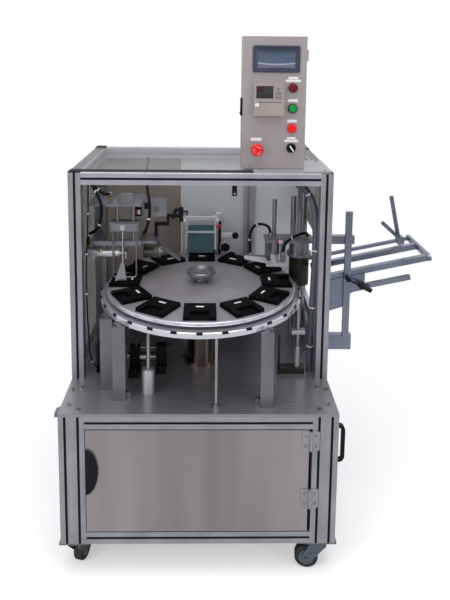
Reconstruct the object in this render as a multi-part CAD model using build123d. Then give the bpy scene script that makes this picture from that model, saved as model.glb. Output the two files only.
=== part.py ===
from build123d import *
import math
import os

os.makedirs("parts", exist_ok=True)

# A free-standing cartoning machine: a cabinet on casters, a table plate, a turning dial with
# twelve carton nests, a guard cage of slotted aluminium profile open at the front, working
# stations at the left, right and back, a carton magazine at the right, and a control box on top.
# While it is built, X is to the right from the cabinet's middle, Y is back from the
# cabinet's front face and Z is up from the floor, all in millimetres.

# Main frame: the dial sets the guide ring, and the ring sets the frame around it
dial_diameter = 660.0
ring_overhang = 20.0
ring_side_room = 80.0
ring_back_room = 45.0
ring_front_reach = 5.0
cabinet_height = 426.0
table_thickness = 10.0
caster_height = 115.0
cage_setback = 205.0
cage_height = 706.0

# Slotted profile
post_size = 80.0
rail_size = 40.0
slot_width = 8.0
slot_lip = 4.5
slot_depth = 11.0
slot_cavity = 14.0
panel_bite = 9.0
joint_gap = 0.3
fit_gap = 0.05

# Sheets
steel_sheet = 2.0
clear_sheet = 5.0
top_sheet = 5.0
top_edge = 6.0

# Cabinet door
door_thickness = 20.0
door_left_gap = 2.0
door_hinge_gap = 10.0
door_edge_gap = 3.0
hinge_height = 62.0
hinge_leaf_width = 22.0
hinge_leaf_thickness = 3.0
hinge_knuckle_diameter = 10.0
hinge_pin_diameter = 4.0
hinge_drop_upper = 78.0
hinge_drop_lower = 270.0
pull_height = 144.0
pull_width = 38.0
pull_depth = 12.0
pull_drop = 140.0

# Casters
wheel_diameter = 75.0
wheel_width = 30.0
wheel_hub_diameter = 48.0
wheel_offset = 42.0
axle_diameter = 10.0
caster_plate_length = 92.0
caster_plate_width = 76.0
caster_plate_thickness = 6.0
kingpin_diameter = 12.0
swivel_ring_diameter = 58.0
swivel_ring_height = 10.0
fork_thickness = 3.5
fork_side_gap = 1.5
caster_heading = {"front_left": 75.0, "front_right": 172.0, "rear_left": 262.0, "rear_right": 285.0}

# Dial
dial_height = 286.0
dial_thickness = 14.0
nest_count = 12
nest_edge_inset = 117.0
nest_length = 104.0
nest_side_gap = 12.0
nest_height = 13.0
nest_wall = 21.0
nest_pocket_length = 42.0
nest_floor = 4.0
shaft_diameter = 50.0
dial_flange_diameter = 130.0
dial_flange_height = 10.0
knob_diameter = 104.0
knob_post_diameter = 34.0
knob_post_height = 22.0
knob_height = 24.0
knob_rim = 7.0

# Guide ring under the dial and what holds it up
ring_width = 70.0
ring_thickness = 20.0
ring_gap = 10.0
column_bearings = (-54.2, -135.0, -147.5, 62.0, 118.0)
column_overhang = 8.0
column_bracket = 15.0
ring_tab_length = 40.0
ring_tab_width = 34.0
ring_tab_thickness = 8.0
sensor_block_bearing = -127.7
sensor_block_inset = 23.0
sensor_block_width = 35.0
sensor_block_drop = 48.0
# Bearing, inset from the ring's edge, foot diameter, foot height and rod diameter
rod_table = (
    (-126.3, 70.0, 38.0, 84.0, 13.0),
    (-80.5, 35.0, 18.0, 12.0, 11.0),
    (-15.0, 3.0, 18.0, 92.0, 15.0),
)
rod_base_height = 20.0
rod_base_reach = (67.0, 23.0)
rod_collar = (45.0, 24.0, 13.0)
rod_collar_height = 140.0
rod_stay_height = 115.0

# Drive
column_diameter = 96.0
column_wall = 14.0
column_flange_diameter = 124.0
column_flange_thickness = 10.0
indexer_width = 190.0
indexer_height = 150.0
indexer_flange = 12.0
motor_diameter = 110.0
motor_length = 150.0
motor_gearbox_length = 70.0

# Control box
box_width = 206.0
box_height = 432.0
box_depth = 110.0
box_door_depth = 20.0
box_left_inset = 297.0
box_setback = 245.0
box_wall = 2.0
box_plate_thickness = 9.0
box_plate_width = 260.0
box_plate_depth = 200.0
box_seal_gap = 0.6
screen_width = 153.0
screen_height = 87.0
screen_depth = 6.0
screen_rim = 17.0
counter_width = 99.0
counter_height = 107.0
button_diameter = 25.0
button_ring = 2.5
button_ring_height = 5.0
button_stem = 10.0
button_reach = 9.0
estop_diameter = 40.0
estop_stem = 16.0

# Air hoses
hose_diameter = 11.0
conduit_diameter = 24.0

# Control box devices, from the lower left corner of its door
screen_place = (107.0, 360.0)
counter_place = (84.0, 230.0)
lamp_place = (163.0, 267.0)
start_place = (163.0, 200.0)
stop_place = (162.0, 135.0)
selector_place = (161.0, 70.0)
estop_place = (48.0, 66.0)

# Rear wall, from the frame's sides, and side rails above the table
rear_mullion_inset = 242.0
rear_seam_inset = 344.0
magazine_rail_low = 105.0
magazine_rail_high = 460.0

# Left station, heights above the table
left_station_inset = 85.0
left_mast_inset = 62.0
left_mast_setback = 108.0
left_bar_height = 430.0
left_bar_size = 16.0
left_bar_width = 24.0
left_bar_reach = 55.0
left_plate_height = 566.0
left_plate_reach = 60.0
left_plate_thickness = 8.0
left_plate_front = 30.0
left_shaft_offset = 28.0
left_shaft_diameter = 12.0
left_arch_size = (60.0, 12.0, 26.0)
left_arch_bar = 9.0
left_bracket_size = (81.0, 6.0, 66.0)
left_shelf_from = 43.0
left_shelf_to = 107.0
left_shelf_depth = 129.0
left_motor_size = (59.0, 40.0)
left_motor_place = (83.5, 85.0, -62.0)
chute_bar_size = (188.0, 6.0, 8.0)
chute_angle = 35.5
chute_place = (110.0, -46.0)
chute_setbacks = (107.0, 133.0)
carriage_rise = 45.0
carriage_size = (100.0, 40.0, 34.0)
bow_wire = 5.0
bow_half_span = 40.0
bow_clearance = 14.0
funnel_height = 78.0
left_cylinder_drop = 40.0
left_cylinder_diameter = 28.0
left_rod_diameter = 10.0
left_port_height = 17.0
# Table cylinder at the left: its clamps' middles and fronts, its tube and its rod
table_clamps = ((-337.0, 244.0), (-224.0, 205.0), (-134.0, 232.0))
table_clamp_width = 34.0
table_clamp_back = 280.0
table_clamp_height = 95.0
table_clamp_foot = 30.0
table_tube = (262.0, 50.0, 30.0)
table_tube_rod = (262.0, 83.0, 8.0)

# Right station, heights above the table
right_station_inset = 85.0
right_station_setback = 135.0
right_plate_height = 398.0
right_plate_thickness = 12.0
right_plate_left = 110.0
right_plate_right = 70.0
right_plate_half_depth = 40.0
right_shafts = ((-72.0, 20.0, 16.0, 140.0), (0.0, 26.0, 20.0, 150.0), (38.0, 26.0, 20.0, 180.0))
lift_cylinder_place = (20.0, -5.0)
lift_cylinder_bottom = 235.0
lift_cylinder_diameter = 74.0
lift_flange_height = 345.0
lift_flange_diameter = 92.0
lift_flange_thickness = 12.0
arm_place = (-72.0, -14.0)
arm_rod_diameter = 22.0
arm_bush_diameter = 34.0
arm_bush_drop = 46.0
arm_clearance = 6.0
tongue_length = 86.0
tongue_half_width = 26.0
tongue_nose = 17.0
tongue_thickness = 5.0
tongue_tip = 9.0

# Rear magazine
rear_magazine_x = -4.0
rear_magazine_inset = 136.0
rear_magazine_top = 440.0
rear_leg_inset = 33.0
rear_leg_size = 20.0
rear_guide_depth = 66.0
rear_guide_thickness = 6.0
rear_bar_height = 12.0
carton_width = 100.0
carton_pitch = 12.0
carton_count = 5
carton_gap = 0.5
# Clamp knobs beside it: distance to the right of its middle, height, diameter and length
rear_knobs = ((96.0, 323.0, 40.0, 26.0), (137.0, 365.0, 26.0, 12.0))

# Magazine at the right
magazine_front_inset = 95.0
magazine_width = 215.0
magazine_length = 390.0
magazine_slope = 11.9
magazine_foot_inset = 28.0
magazine_foot_height = 316.0
magazine_bar_gap = 62.0
magazine_bar_top = 562.0
magazine_bar_width = 22.0
magazine_bar_thickness = 12.0
magazine_cheek_length = 118.0

# Values worked out from the ones above
ring_diameter = dial_diameter + 2 * ring_overhang
ring_radius = ring_diameter / 2
frame_width = ring_diameter + 2 * ring_side_room
dial_centre_setback = ring_radius - ring_front_reach
cabinet_depth = dial_centre_setback + ring_radius + ring_back_room
frame_bottom = caster_height
plate_bottom = frame_bottom + cabinet_height
table = plate_bottom + table_thickness
half_width = frame_width / 2
cage_front = cage_setback
cage_back = cabinet_depth
cage_top = table + cage_height
dial_top = table + dial_height
dial_bottom = dial_top - dial_thickness
dial_radius = dial_diameter / 2
nest_inner_radius = dial_radius - nest_edge_inset
nest_width = 2 * nest_inner_radius * math.tan(math.pi / nest_count) - nest_side_gap
nest_pocket_width = nest_width - 2 * nest_wall
ring_top = dial_bottom - ring_gap
ring_bottom = ring_top - ring_thickness
column_reach = ring_radius + column_overhang
box_plate_top = cage_top + box_plate_thickness
box_left_edge = half_width - box_left_inset
rear_mullion_x = half_width - rear_mullion_inset
rear_seam_x = -half_width + rear_seam_inset
left_station_x = -ring_radius + left_station_inset
left_station_y = dial_centre_setback
right_station_x = half_width - right_station_inset
right_station_y = dial_centre_setback + right_station_setback
rear_magazine_y = cage_back - rear_magazine_inset
magazine_near = cage_front + magazine_front_inset
magazine_foot_x = half_width - magazine_foot_inset
magazine_bar_x = half_width + magazine_bar_gap

nodes = {}


def keep(name, solids):
    nodes[name] = solids[0] if len(solids) == 1 else Compound(children=list(solids))


def block(x_from, x_to, y_from, y_to, z_from, z_to):
    middle = Pos((x_from + x_to) / 2, (y_from + y_to) / 2, (z_from + z_to) / 2)
    return middle * Box(x_to - x_from, y_to - y_from, z_to - z_from)


def upright(x, y, z_from, z_to, diameter):
    return Pos(x, y, (z_from + z_to) / 2) * Cylinder(diameter / 2, z_to - z_from)


def level_x(x_from, x_to, y, z, diameter):
    turned = Rot(0, 90, 0) * Cylinder(diameter / 2, x_to - x_from)
    return Pos((x_from + x_to) / 2, y, z) * turned


def level_y(y_from, y_to, x, z, diameter):
    turned = Rot(90, 0, 0) * Cylinder(diameter / 2, y_to - y_from)
    return Pos(x, (y_from + y_to) / 2, z) * turned


# Slotted profile section: a square with T slots in its front (0), right (1), back (2) and left (3) sides
def profile_face(size, slots_per_side, slotted_sides):
    pitch = size / slots_per_side
    half = size / 2
    side = []
    for index in range(slots_per_side):
        centre = -half + pitch * (index + 0.5)
        for across, depth in (
            (-slot_width / 2, 0.0),
            (-slot_width / 2, slot_lip),
            (-slot_cavity / 2, slot_lip),
            (-slot_cavity / 2, slot_depth),
            (slot_cavity / 2, slot_depth),
            (slot_cavity / 2, slot_lip),
            (slot_width / 2, slot_lip),
            (slot_width / 2, 0.0),
        ):
            side.append((centre + across, -half + depth))
    points = []
    for turn in range(4):
        cosine = round(math.cos(math.radians(90 * turn)))
        sine = round(math.sin(math.radians(90 * turn)))
        for x, y in [(-half, -half)] + (side if turn in slotted_sides else []):
            points.append((x * cosine - y * sine, x * sine + y * cosine))
    return make_face(Polyline(*points, close=True))


def profile_bar(size, axis, start, length, slotted_sides=(0, 1, 2, 3)):
    solid = extrude(profile_face(size, round(size / rail_size), slotted_sides), amount=length)
    turn = {"X": Rot(0, 90, 0), "Y": Rot(-90, 0, 0), "Z": Rot(0, 0, 0)}[axis]
    return Pos(*start) * (turn * solid)


# Hose along straight runs joined by arcs that are as large as the runs allow
def hose(name, points, diameter):
    vectors = [Vector(*point) for point in points]
    runs = [b - a for a, b in zip(vectors, vectors[1:])]
    radii = []
    for before, after in zip(runs, runs[1:]):
        half_turn = math.radians(before.get_angle(after)) / 2
        radii.append(0.45 * min(before.length, after.length) / math.tan(half_turn))
    print(name, "bend radii", [round(radius) for radius in radii])
    path = FilletPolyline(*points, radius=radii)
    start = Plane(origin=path @ 0, z_dir=path % 0)
    return sweep(start * Circle(diameter / 2), path=path)


def make_base_frame():
    post_middle_x = half_width - post_size / 2
    post_middle_y = (post_size / 2, cabinet_depth - post_size / 2)
    posts = [
        profile_bar(post_size, "Z", (side * post_middle_x, y, frame_bottom), cabinet_height)
        for side in (-1, 1)
        for y in post_middle_y
    ]
    keep("base_posts", posts)

    rail_levels = (frame_bottom + rail_size / 2, plate_bottom - rail_size / 2)
    rails = []
    for z in rail_levels:
        for y in (rail_size / 2, cabinet_depth - rail_size / 2):
            start = (-half_width + post_size, y, z)
            rails.append(profile_bar(rail_size, "X", start, frame_width - 2 * post_size))
        for side in (-1, 1):
            start = (side * (half_width - rail_size / 2), post_size, z)
            rails.append(profile_bar(rail_size, "Y", start, cabinet_depth - 2 * post_size))
    keep("base_rails", rails)


def make_table_plate():
    plate = block(-half_width, half_width, 0, cabinet_depth, plate_bottom, table)
    passage = upright(0, dial_centre_setback, plate_bottom - 1, table + 1, column_diameter - 2 * column_wall)
    keep("table_plate", [plate - passage])


def make_cabinet_panels():
    low = frame_bottom + rail_size - panel_bite
    high = plate_bottom - rail_size + panel_bite
    panels = []
    for side in (-1, 1):
        middle = side * (half_width - rail_size / 2)
        panels.append(
            block(
                middle - steel_sheet / 2,
                middle + steel_sheet / 2,
                post_size - panel_bite,
                cabinet_depth - post_size + panel_bite,
                low,
                high,
            )
        )
    inner = half_width - post_size + panel_bite
    back = cabinet_depth - rail_size / 2
    panels.append(block(-inner, inner, back - steel_sheet / 2, back + steel_sheet / 2, low, high))
    floor_edge = half_width - rail_size
    floor = frame_bottom + rail_size
    tray = block(-floor_edge, floor_edge, rail_size, cabinet_depth - rail_size, floor, floor + steel_sheet)
    for side in (-1, 1):
        for y in (post_size / 2, cabinet_depth - post_size / 2):
            notch = Pos(side * (half_width - post_size / 2), y, floor)
            tray -= notch * Box(post_size + 1, post_size + 1, 4 * steel_sheet)
    panels.append(tray)
    keep("cabinet_panels", panels)


def hinge_axis_x():
    return half_width - post_size - door_hinge_gap / 2


def hinge_axis_y():
    return -hinge_knuckle_diameter / 2


def hinge_bottoms():
    return [
        plate_bottom - drop - hinge_height / 2 for drop in (hinge_drop_upper, hinge_drop_lower)
    ]


# Three knuckles on each hinge: the outer two and the pin stay on the frame
def make_hinges():
    x = hinge_axis_x()
    y = hinge_axis_y()
    third = hinge_height / 3
    radius = hinge_knuckle_diameter / 2
    frame_leaves = []
    door_leaves = []
    for low in hinge_bottoms():
        knuckles = upright(x, y, low, low + third, 2 * radius)
        knuckles += upright(x, y, low + 2 * third, low + hinge_height, 2 * radius)
        leaf = block(x, x + radius + hinge_leaf_width, -hinge_leaf_thickness, 0, low, low + hinge_height)
        room = block(
            x - radius, x + radius + joint_gap, y - radius, y + radius + 1, low + third, low + 2 * third
        )
        frame_leaf = leaf + knuckles - room
        frame_leaf += upright(x, y, low, low + hinge_height, hinge_pin_diameter)
        frame_leaves.append(frame_leaf)

        knuckle = upright(x, y, low + third + joint_gap, low + 2 * third - joint_gap, 2 * radius)
        leaf = block(x - radius - hinge_leaf_width, x, -hinge_leaf_thickness, 0, low, low + hinge_height)
        lower_room = (low - 1, low + third + joint_gap)
        upper_room = (low + 2 * third - joint_gap, low + hinge_height + 1)
        for z_from, z_to in (lower_room, upper_room):
            leaf -= block(x - radius - joint_gap, x + radius, y - radius, y + radius + 1, z_from, z_to)
        door_leaf = leaf + knuckle
        door_leaf -= upright(x, y, low - 1, low + hinge_height + 1, hinge_pin_diameter + 2 * fit_gap)
        door_leaves.append(door_leaf)
    keep("hinge_frame_leaves", frame_leaves)
    keep("hinge_door_leaves", door_leaves)


def door_edges():
    left = -half_width + post_size + door_left_gap
    right = half_width - post_size - door_hinge_gap
    low = frame_bottom + rail_size + door_edge_gap
    high = plate_bottom - rail_size - door_edge_gap
    return left, right, low, high


# The door is one sheet folded back into a pan on all four sides
def make_cabinet_door():
    left, right, low, high = door_edges()
    pan = block(left, right, 0, door_thickness, low, high)
    hollow = block(
        left + steel_sheet,
        right - steel_sheet,
        steel_sheet,
        door_thickness + 1,
        low + steel_sheet,
        high - steel_sheet,
    )
    keep("cabinet_door", [pan - hollow])

    middle = plate_bottom - rail_size - pull_drop
    outline = Ellipse(pull_width, pull_height / 2) & Rectangle(
        pull_width, pull_height, align=(Align.MIN, Align.CENTER)
    )
    pull = extrude(Plane.XZ * outline, amount=pull_depth)
    front = pull.faces().sort_by(Axis.Y)[0]
    pull = chamfer(front.edges(), pull_depth / 4)
    keep("door_handle", [Pos(left, 0, middle) * pull])


def make_side_handle():
    height = 126.0
    reach = 28.0
    width = 14.0
    grip = 11.0
    bow = Box(reach, width, height, align=(Align.MIN, Align.CENTER, Align.CENTER))
    bow = fillet(bow.edges().filter_by(Axis.Y).group_by(Axis.X)[-1], reach * 0.7)
    gap = Pos(-1, 0, 0) * Box(
        reach - grip + 1, width + 2, height - 2 * grip, align=(Align.MIN, Align.CENTER, Align.CENTER)
    )
    x = half_width
    z = plate_bottom - rail_size - 70.0
    keep("side_handle", [Pos(x, post_size / 2, z) * (bow - gap)])


def make_mains_switch():
    z = plate_bottom - 52.0
    y = post_size + 30.0
    base = block(-half_width - 9.0, -half_width, y - 26.0, y + 26.0, z - 26.0, z + 26.0)
    base += level_x(-half_width - 14.0, -half_width - 9.0, y, z, 44.0)
    base -= level_x(-half_width - 15.0, -half_width - 6.0, y, z, 8.0 + 2 * fit_gap)
    knob = level_x(-half_width - 34.0, -half_width - 14.0 - joint_gap, y, z, 36.0)
    for side in (-1, 1):
        flat = z + side * 19.0
        knob -= block(-half_width - 40.0, -half_width - 22.0, y - 30.0, y + 30.0, flat - 12.0, flat + 12.0)
    knob += level_x(-half_width - 15.0, -half_width - 7.0, y, z, 8.0)
    keep("mains_switch_base", [base])
    keep("mains_switch_knob", [knob])


def caster_places():
    x = half_width - post_size / 2
    front = post_size / 2
    back = cabinet_depth - post_size / 2
    return {
        "front_left": (-x, front),
        "front_right": (x, front),
        "rear_left": (-x, back),
        "rear_right": (x, back),
    }


def make_casters():
    plates = []
    plate_low = frame_bottom - caster_plate_thickness
    ring_top_level = plate_low - joint_gap
    ring_low = ring_top_level - swivel_ring_height
    axle_level = wheel_diameter / 2
    leg_inner = wheel_width / 2 + fork_side_gap
    for corner, (x, y) in caster_places().items():
        plate = Pos(x, y, frame_bottom - caster_plate_thickness / 2) * Box(
            caster_plate_length, caster_plate_width, caster_plate_thickness
        )
        plate += upright(x, y, ring_low - 4.0, plate_low, kingpin_diameter)
        plate += upright(x, y, ring_low - 7.0, ring_low - joint_gap, kingpin_diameter + 8.0)
        plates.append(plate)

        # Fork with its wheel trailing towards +X, turned to its heading afterwards
        crown = upright(0, 0, ring_low, ring_top_level, swivel_ring_diameter)
        crown -= upright(0, 0, ring_low - 1, ring_top_level + 1, kingpin_diameter + 2 * fit_gap)
        reach = swivel_ring_diameter / 2
        boss = 15.0
        cheek = make_face(
            Polyline(
                (-reach * 0.72, ring_low),
                (reach * 0.86, ring_low),
                (wheel_offset + boss, axle_level + boss * 0.5),
                (wheel_offset + boss * 0.6, axle_level - boss),
                (wheel_offset - boss * 0.6, axle_level - boss),
                (-reach * 0.72, ring_low - 12.0),
                close=True,
            )
        )
        fork = crown
        for side in (-1, 1):
            leg = extrude(Plane.XZ * cheek, amount=fork_thickness / 2, both=True)
            fork += Pos(0, side * (leg_inner + fork_thickness / 2), 0) * leg
        web = block(-reach * 0.72, reach * 0.3, -leg_inner, leg_inner, ring_low - 2.0, ring_low + 2.0)
        web -= upright(0, 0, ring_low - 5.0, ring_low + 5.0, kingpin_diameter + 10.0)
        fork += web
        axle_half = leg_inner + fork_thickness + 4.0
        fork += level_y(-axle_half, axle_half, wheel_offset, axle_level, axle_diameter)
        pedal = block(
            wheel_offset - 2.0, wheel_offset + 44.0, -12.0, 12.0, wheel_diameter + 6.0, wheel_diameter + 10.0
        )
        arm_start = kingpin_diameter / 2 + 8.0
        pedal_arm = block(arm_start, wheel_offset, -12.0, 12.0, wheel_diameter + 6.0, ring_low + 2.0)
        fork += pedal + pedal_arm
        heading = Pos(x, y, 0) * Rot(0, 0, caster_heading[corner])
        keep("caster_fork_" + corner, [heading * fork])

        hub = level_y(-wheel_width / 2, wheel_width / 2, 0, 0, wheel_hub_diameter)
        hub -= level_y(-wheel_width, wheel_width, 0, 0, axle_diameter + 2 * fit_gap)
        for side in (-1, 1):
            ring = level_y(-4.0, 4.0, 0, 0, wheel_hub_diameter - 10.0)
            ring -= level_y(-5.0, 5.0, 0, 0, axle_diameter + 10.0)
            hub -= Pos(0, side * wheel_width / 2, 0) * ring
        tyre = level_y(-wheel_width / 2, wheel_width / 2, 0, 0, wheel_diameter)
        tyre = chamfer(tyre.edges().filter_by(GeomType.CIRCLE), 4.0)
        tyre -= level_y(-wheel_width, wheel_width, 0, 0, wheel_hub_diameter)
        wheel_place = heading * Pos(wheel_offset, 0, axle_level)
        keep("caster_wheel_" + corner, [wheel_place * hub, wheel_place * tyre])
    keep("caster_plates", plates)


def make_drive():
    y = dial_centre_setback
    inner = column_diameter - 2 * column_wall
    column = upright(0, y, table, ring_bottom, column_diameter)
    column += upright(0, y, table, table + column_flange_thickness, column_flange_diameter)
    column -= upright(0, y, table - 1, ring_bottom + 1, inner)
    # The top of the column carries the shaft's bearing
    column += upright(0, y, ring_bottom - 30.0, ring_bottom, inner)
    column -= upright(0, y, ring_bottom - 31.0, ring_bottom + 1, shaft_diameter + 2 * fit_gap)
    keep("indexer_column", [column])

    half = indexer_width / 2
    top = plate_bottom
    case_low = top - indexer_flange - indexer_height
    case = block(-half, half, y - half, y + half, case_low, top - indexer_flange)
    case = chamfer(case.edges().filter_by(Axis.Z), 12.0)
    case += upright(0, y, top - indexer_flange, top, indexer_width * 0.9)
    case -= upright(0, y, top - 60.0, top + 1, shaft_diameter + 2 * fit_gap)
    case += level_x(half, half + 30.0, y + 30.0, case_low + 60.0, 70.0)
    keep("cam_indexer", [case])

    gearbox_start = half + 30.0
    gearbox_end = gearbox_start + motor_gearbox_length
    motor_y = y + 30.0
    motor_z = case_low + 60.0
    motor = block(gearbox_start, gearbox_end, motor_y - 50.0, motor_y + 50.0, motor_z - 50.0, motor_z + 50.0)
    motor += level_x(gearbox_end, gearbox_end + motor_length, motor_y, motor_z, motor_diameter * 0.8)
    keep("drive_motor", [motor])


def make_dial():
    y = dial_centre_setback
    shaft_low = plate_bottom - 55.0
    flange_low = dial_bottom - dial_flange_height
    shaft = upright(0, y, shaft_low, dial_bottom, shaft_diameter)
    shaft += upright(0, y, flange_low, dial_bottom, dial_flange_diameter)
    keep("dial_shaft", [shaft])

    plate = upright(0, y, dial_bottom, dial_top, dial_diameter)
    rim = plate.edges().filter_by(GeomType.CIRCLE).sort_by(Axis.Z)[-1]
    keep("dial_plate", [chamfer(rim, 2.0)])

    nest = Box(nest_length, nest_width, nest_height, align=(Align.MIN, Align.CENTER, Align.MIN))
    pocket = Pos(nest_length + 1, 0, nest_floor) * Box(
        nest_pocket_length + 1, nest_pocket_width, nest_height, align=(Align.MAX, Align.CENTER, Align.MIN)
    )
    nest -= pocket
    nests = [
        Pos(0, y, dial_top) * Rot(0, 0, 360.0 / nest_count * index) * Pos(nest_inner_radius, 0, 0) * nest
        for index in range(nest_count)
    ]
    keep("carton_nests", nests)

    # Dished hand knob on a short post, turned from one bar
    radius = knob_diameter / 2
    post = knob_post_diameter / 2
    outline = Polyline(
        (0, 0),
        (post + 8.0, 0),
        (post + 8.0, 5.0),
        (post, 8.0),
        (post, knob_post_height),
        (radius - 6.0, knob_post_height + 6.0),
        (radius, knob_post_height + 14.0),
        (radius, knob_post_height + knob_height - 3.0),
        (radius - 3.0, knob_post_height + knob_height),
        (radius - knob_rim, knob_post_height + knob_height),
        (radius - knob_rim - 9.0, knob_post_height + 14.0),
        (post * 0.6, knob_post_height + 10.0),
        (0, knob_post_height + 10.0),
        close=True,
    )
    knob = revolve(Plane.XZ * make_face(outline), Axis.Z)
    keep("dial_knob", [Pos(0, y, dial_top) * knob])


def column_spots():
    spots = []
    for bearing in column_bearings:
        angle = math.radians(bearing)
        spots.append((column_reach * math.cos(angle), dial_centre_setback + column_reach * math.sin(angle)))
    return spots


def under_ring(bearing, inset):
    angle = math.radians(bearing)
    radius = ring_radius - inset
    return radius * math.cos(angle), dial_centre_setback + radius * math.sin(angle)


def make_guide_ring():
    y = dial_centre_setback
    ring = upright(0, y, ring_bottom, ring_top, ring_diameter)
    edges = ring.edges().filter_by(GeomType.CIRCLE)
    ring = chamfer(edges, 2.0)
    ring -= upright(0, y, ring_bottom - 1, ring_top + 1, ring_diameter - 2 * ring_width)
    block_x, block_y = under_ring(sensor_block_bearing, sensor_block_inset)
    sensor_block = Pos(block_x, block_y, ring_bottom) * Box(
        sensor_block_width, ring_tab_width, sensor_block_drop, align=(Align.CENTER, Align.CENTER, Align.MAX)
    )
    keep("guide_ring", [ring, sensor_block])

    columns = []
    for x, spot_y in column_spots():
        # A column's front and back are plain, its two sides carry slots
        columns.append(profile_bar(rail_size, "Z", (x, spot_y, table), ring_bottom - table, (1, 3)))
        # Each column has a tab that reaches in under the ring and a small bracket at its foot
        inward = math.copysign(1.0, -x)
        backward = math.copysign(1.0, y - spot_y)
        tab = Box(ring_tab_width, ring_tab_length, ring_tab_thickness)
        tab_y = spot_y + backward * (rail_size + ring_tab_length) / 2
        columns.append(Pos(x, tab_y, ring_bottom - ring_tab_thickness / 2) * tab)
        bracket = Box(column_bracket, rail_size / 2, 1.6 * column_bracket)
        bracket = chamfer(bracket.edges().filter_by(Axis.Y).group_by(Axis.Z)[-1], 0.4 * column_bracket)
        bracket_x = x + inward * (rail_size + column_bracket) / 2
        columns.append(Pos(bracket_x, spot_y, table + 0.8 * column_bracket) * bracket)
    keep("ring_columns", columns)

    rods = []
    for bearing, inset, foot_diameter, foot_height, rod_diameter in rod_table:
        x, rod_y = under_ring(bearing, inset)
        rods.append(upright(x, rod_y, table, table + foot_height, foot_diameter))
        rods.append(upright(x, rod_y, table + foot_height, ring_bottom, rod_diameter))
    # The last rod has a base block around its foot, a collar, and a stay on the base
    foot, rod = rods[-2:]
    reach_left, reach_right = rod_base_reach
    base_half_depth = foot_diameter
    base = block(
        x - reach_left, x + reach_right, rod_y - base_half_depth, rod_y + base_half_depth,
        table, table + rod_base_height,
    )
    stay = block(
        x - reach_left, x - reach_left + steel_sheet * 3, rod_y - foot_diameter / 2, rod_y,
        table, table + rod_base_height + rod_stay_height,
    )
    width, depth, height = rod_collar
    collar = Pos(x, rod_y, table + rod_collar_height + height / 2) * Box(width, depth, height)
    rods[-2:] = [base + foot + stay, rod + collar]
    keep("support_rods", rods)


def make_cage():
    post_x = half_width - rail_size / 2
    post_y = (cage_front + rail_size / 2, cage_back - rail_size / 2)
    post_length = cage_height - rail_size
    posts = [
        profile_bar(rail_size, "Z", (side * post_x, y, table), post_length)
        for side in (-1, 1)
        for y in post_y
    ]
    posts.append(profile_bar(rail_size, "Z", (rear_mullion_x, post_y[1], table), post_length))
    keep("cage_posts", posts)

    rail_z = cage_top - rail_size / 2
    rails = []
    for y in post_y:
        rails.append(profile_bar(rail_size, "X", (-half_width, y, rail_z), frame_width))
    side_length = cage_back - cage_front - 2 * rail_size
    for side in (-1, 1):
        start = (side * post_x, cage_front + rail_size, rail_z)
        rails.append(profile_bar(rail_size, "Y", start, side_length))
    strap_face = post_x + clear_sheet / 2
    strap_front = cage_front + rail_size
    for z in (magazine_rail_low, magazine_rail_high):
        strap = block(
            strap_face, half_width, strap_front, strap_front + side_length,
            table + z - rail_size / 2, table + z + rail_size / 2,
        )
        groove = block(
            half_width - slot_lip, half_width + 1, strap_front - 1, strap_front + side_length + 1,
            table + z - slot_width / 2, table + z + slot_width / 2,
        )
        rails.append(strap - groove)
    keep("cage_rails", rails)

    low = table
    post_end = cage_top - rail_size
    high = post_end + panel_bite
    rail_front = cage_front + rail_size
    rail_back = cage_back - rail_size
    thick = clear_sheet / 2

    # A side pane stands in the slots of its posts and has a tongue for the slot of the rail above
    def side_pane(x, z_from):
        pane = block(x - thick, x + thick, rail_front - panel_bite, rail_back + panel_bite, z_from, post_end)
        return pane + block(x - thick, x + thick, rail_front, rail_back, z_from, high)

    lower_top = table + magazine_rail_low
    lower_pane = block(
        post_x - thick, post_x + thick, rail_front - panel_bite, rail_back + panel_bite, low, lower_top
    )
    clear = [side_pane(-post_x, low), side_pane(post_x, table + magazine_rail_high), lower_pane]
    plate_left = half_width - rail_size / 2 - box_plate_width + 20.0
    # Two top sheets: one left of the control box's plate and one behind that plate
    top_left = -half_width + top_edge
    top_right = half_width - top_edge
    top_back = cage_back - top_edge
    behind = cage_front + box_plate_depth
    top_high = cage_top + top_sheet
    clear.append(block(top_left, plate_left, cage_front + top_edge, top_back, cage_top, top_high))
    clear.append(block(plate_left + 1.0, top_right, behind + 1.0, top_back, cage_top, top_high))
    keep("cage_clear_panels", clear)

    y = post_y[1]
    mullion_left = rear_mullion_x - rail_size / 2 + panel_bite
    mullion_right = rear_mullion_x + rail_size / 2 - panel_bite
    left = -half_width + rail_size - panel_bite
    right = half_width - rail_size + panel_bite
    seam = rear_seam_x
    rear = [
        block(left, seam - 0.5, y - thick, y + thick, low, high),
        block(seam + 0.5, mullion_left, y - thick, y + thick, low, high),
        block(mullion_right, right, y - thick, y + thick, low, high),
    ]
    keep("cage_rear_panels", rear)

    plate = block(plate_left, top_right, cage_front, behind, cage_top, box_plate_top)
    keep("control_box_plate", [plate])


def box_edges():
    left = box_left_edge
    right = left + box_width
    low = box_plate_top
    return left, right, low, low + box_height


def on_box(place):
    return box_left_edge + place[0], box_plate_top + place[1]


def box_hinge():
    left, right, low, high = box_edges()
    return right + 4.0, box_setback + box_door_depth + box_seal_gap / 2


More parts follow.
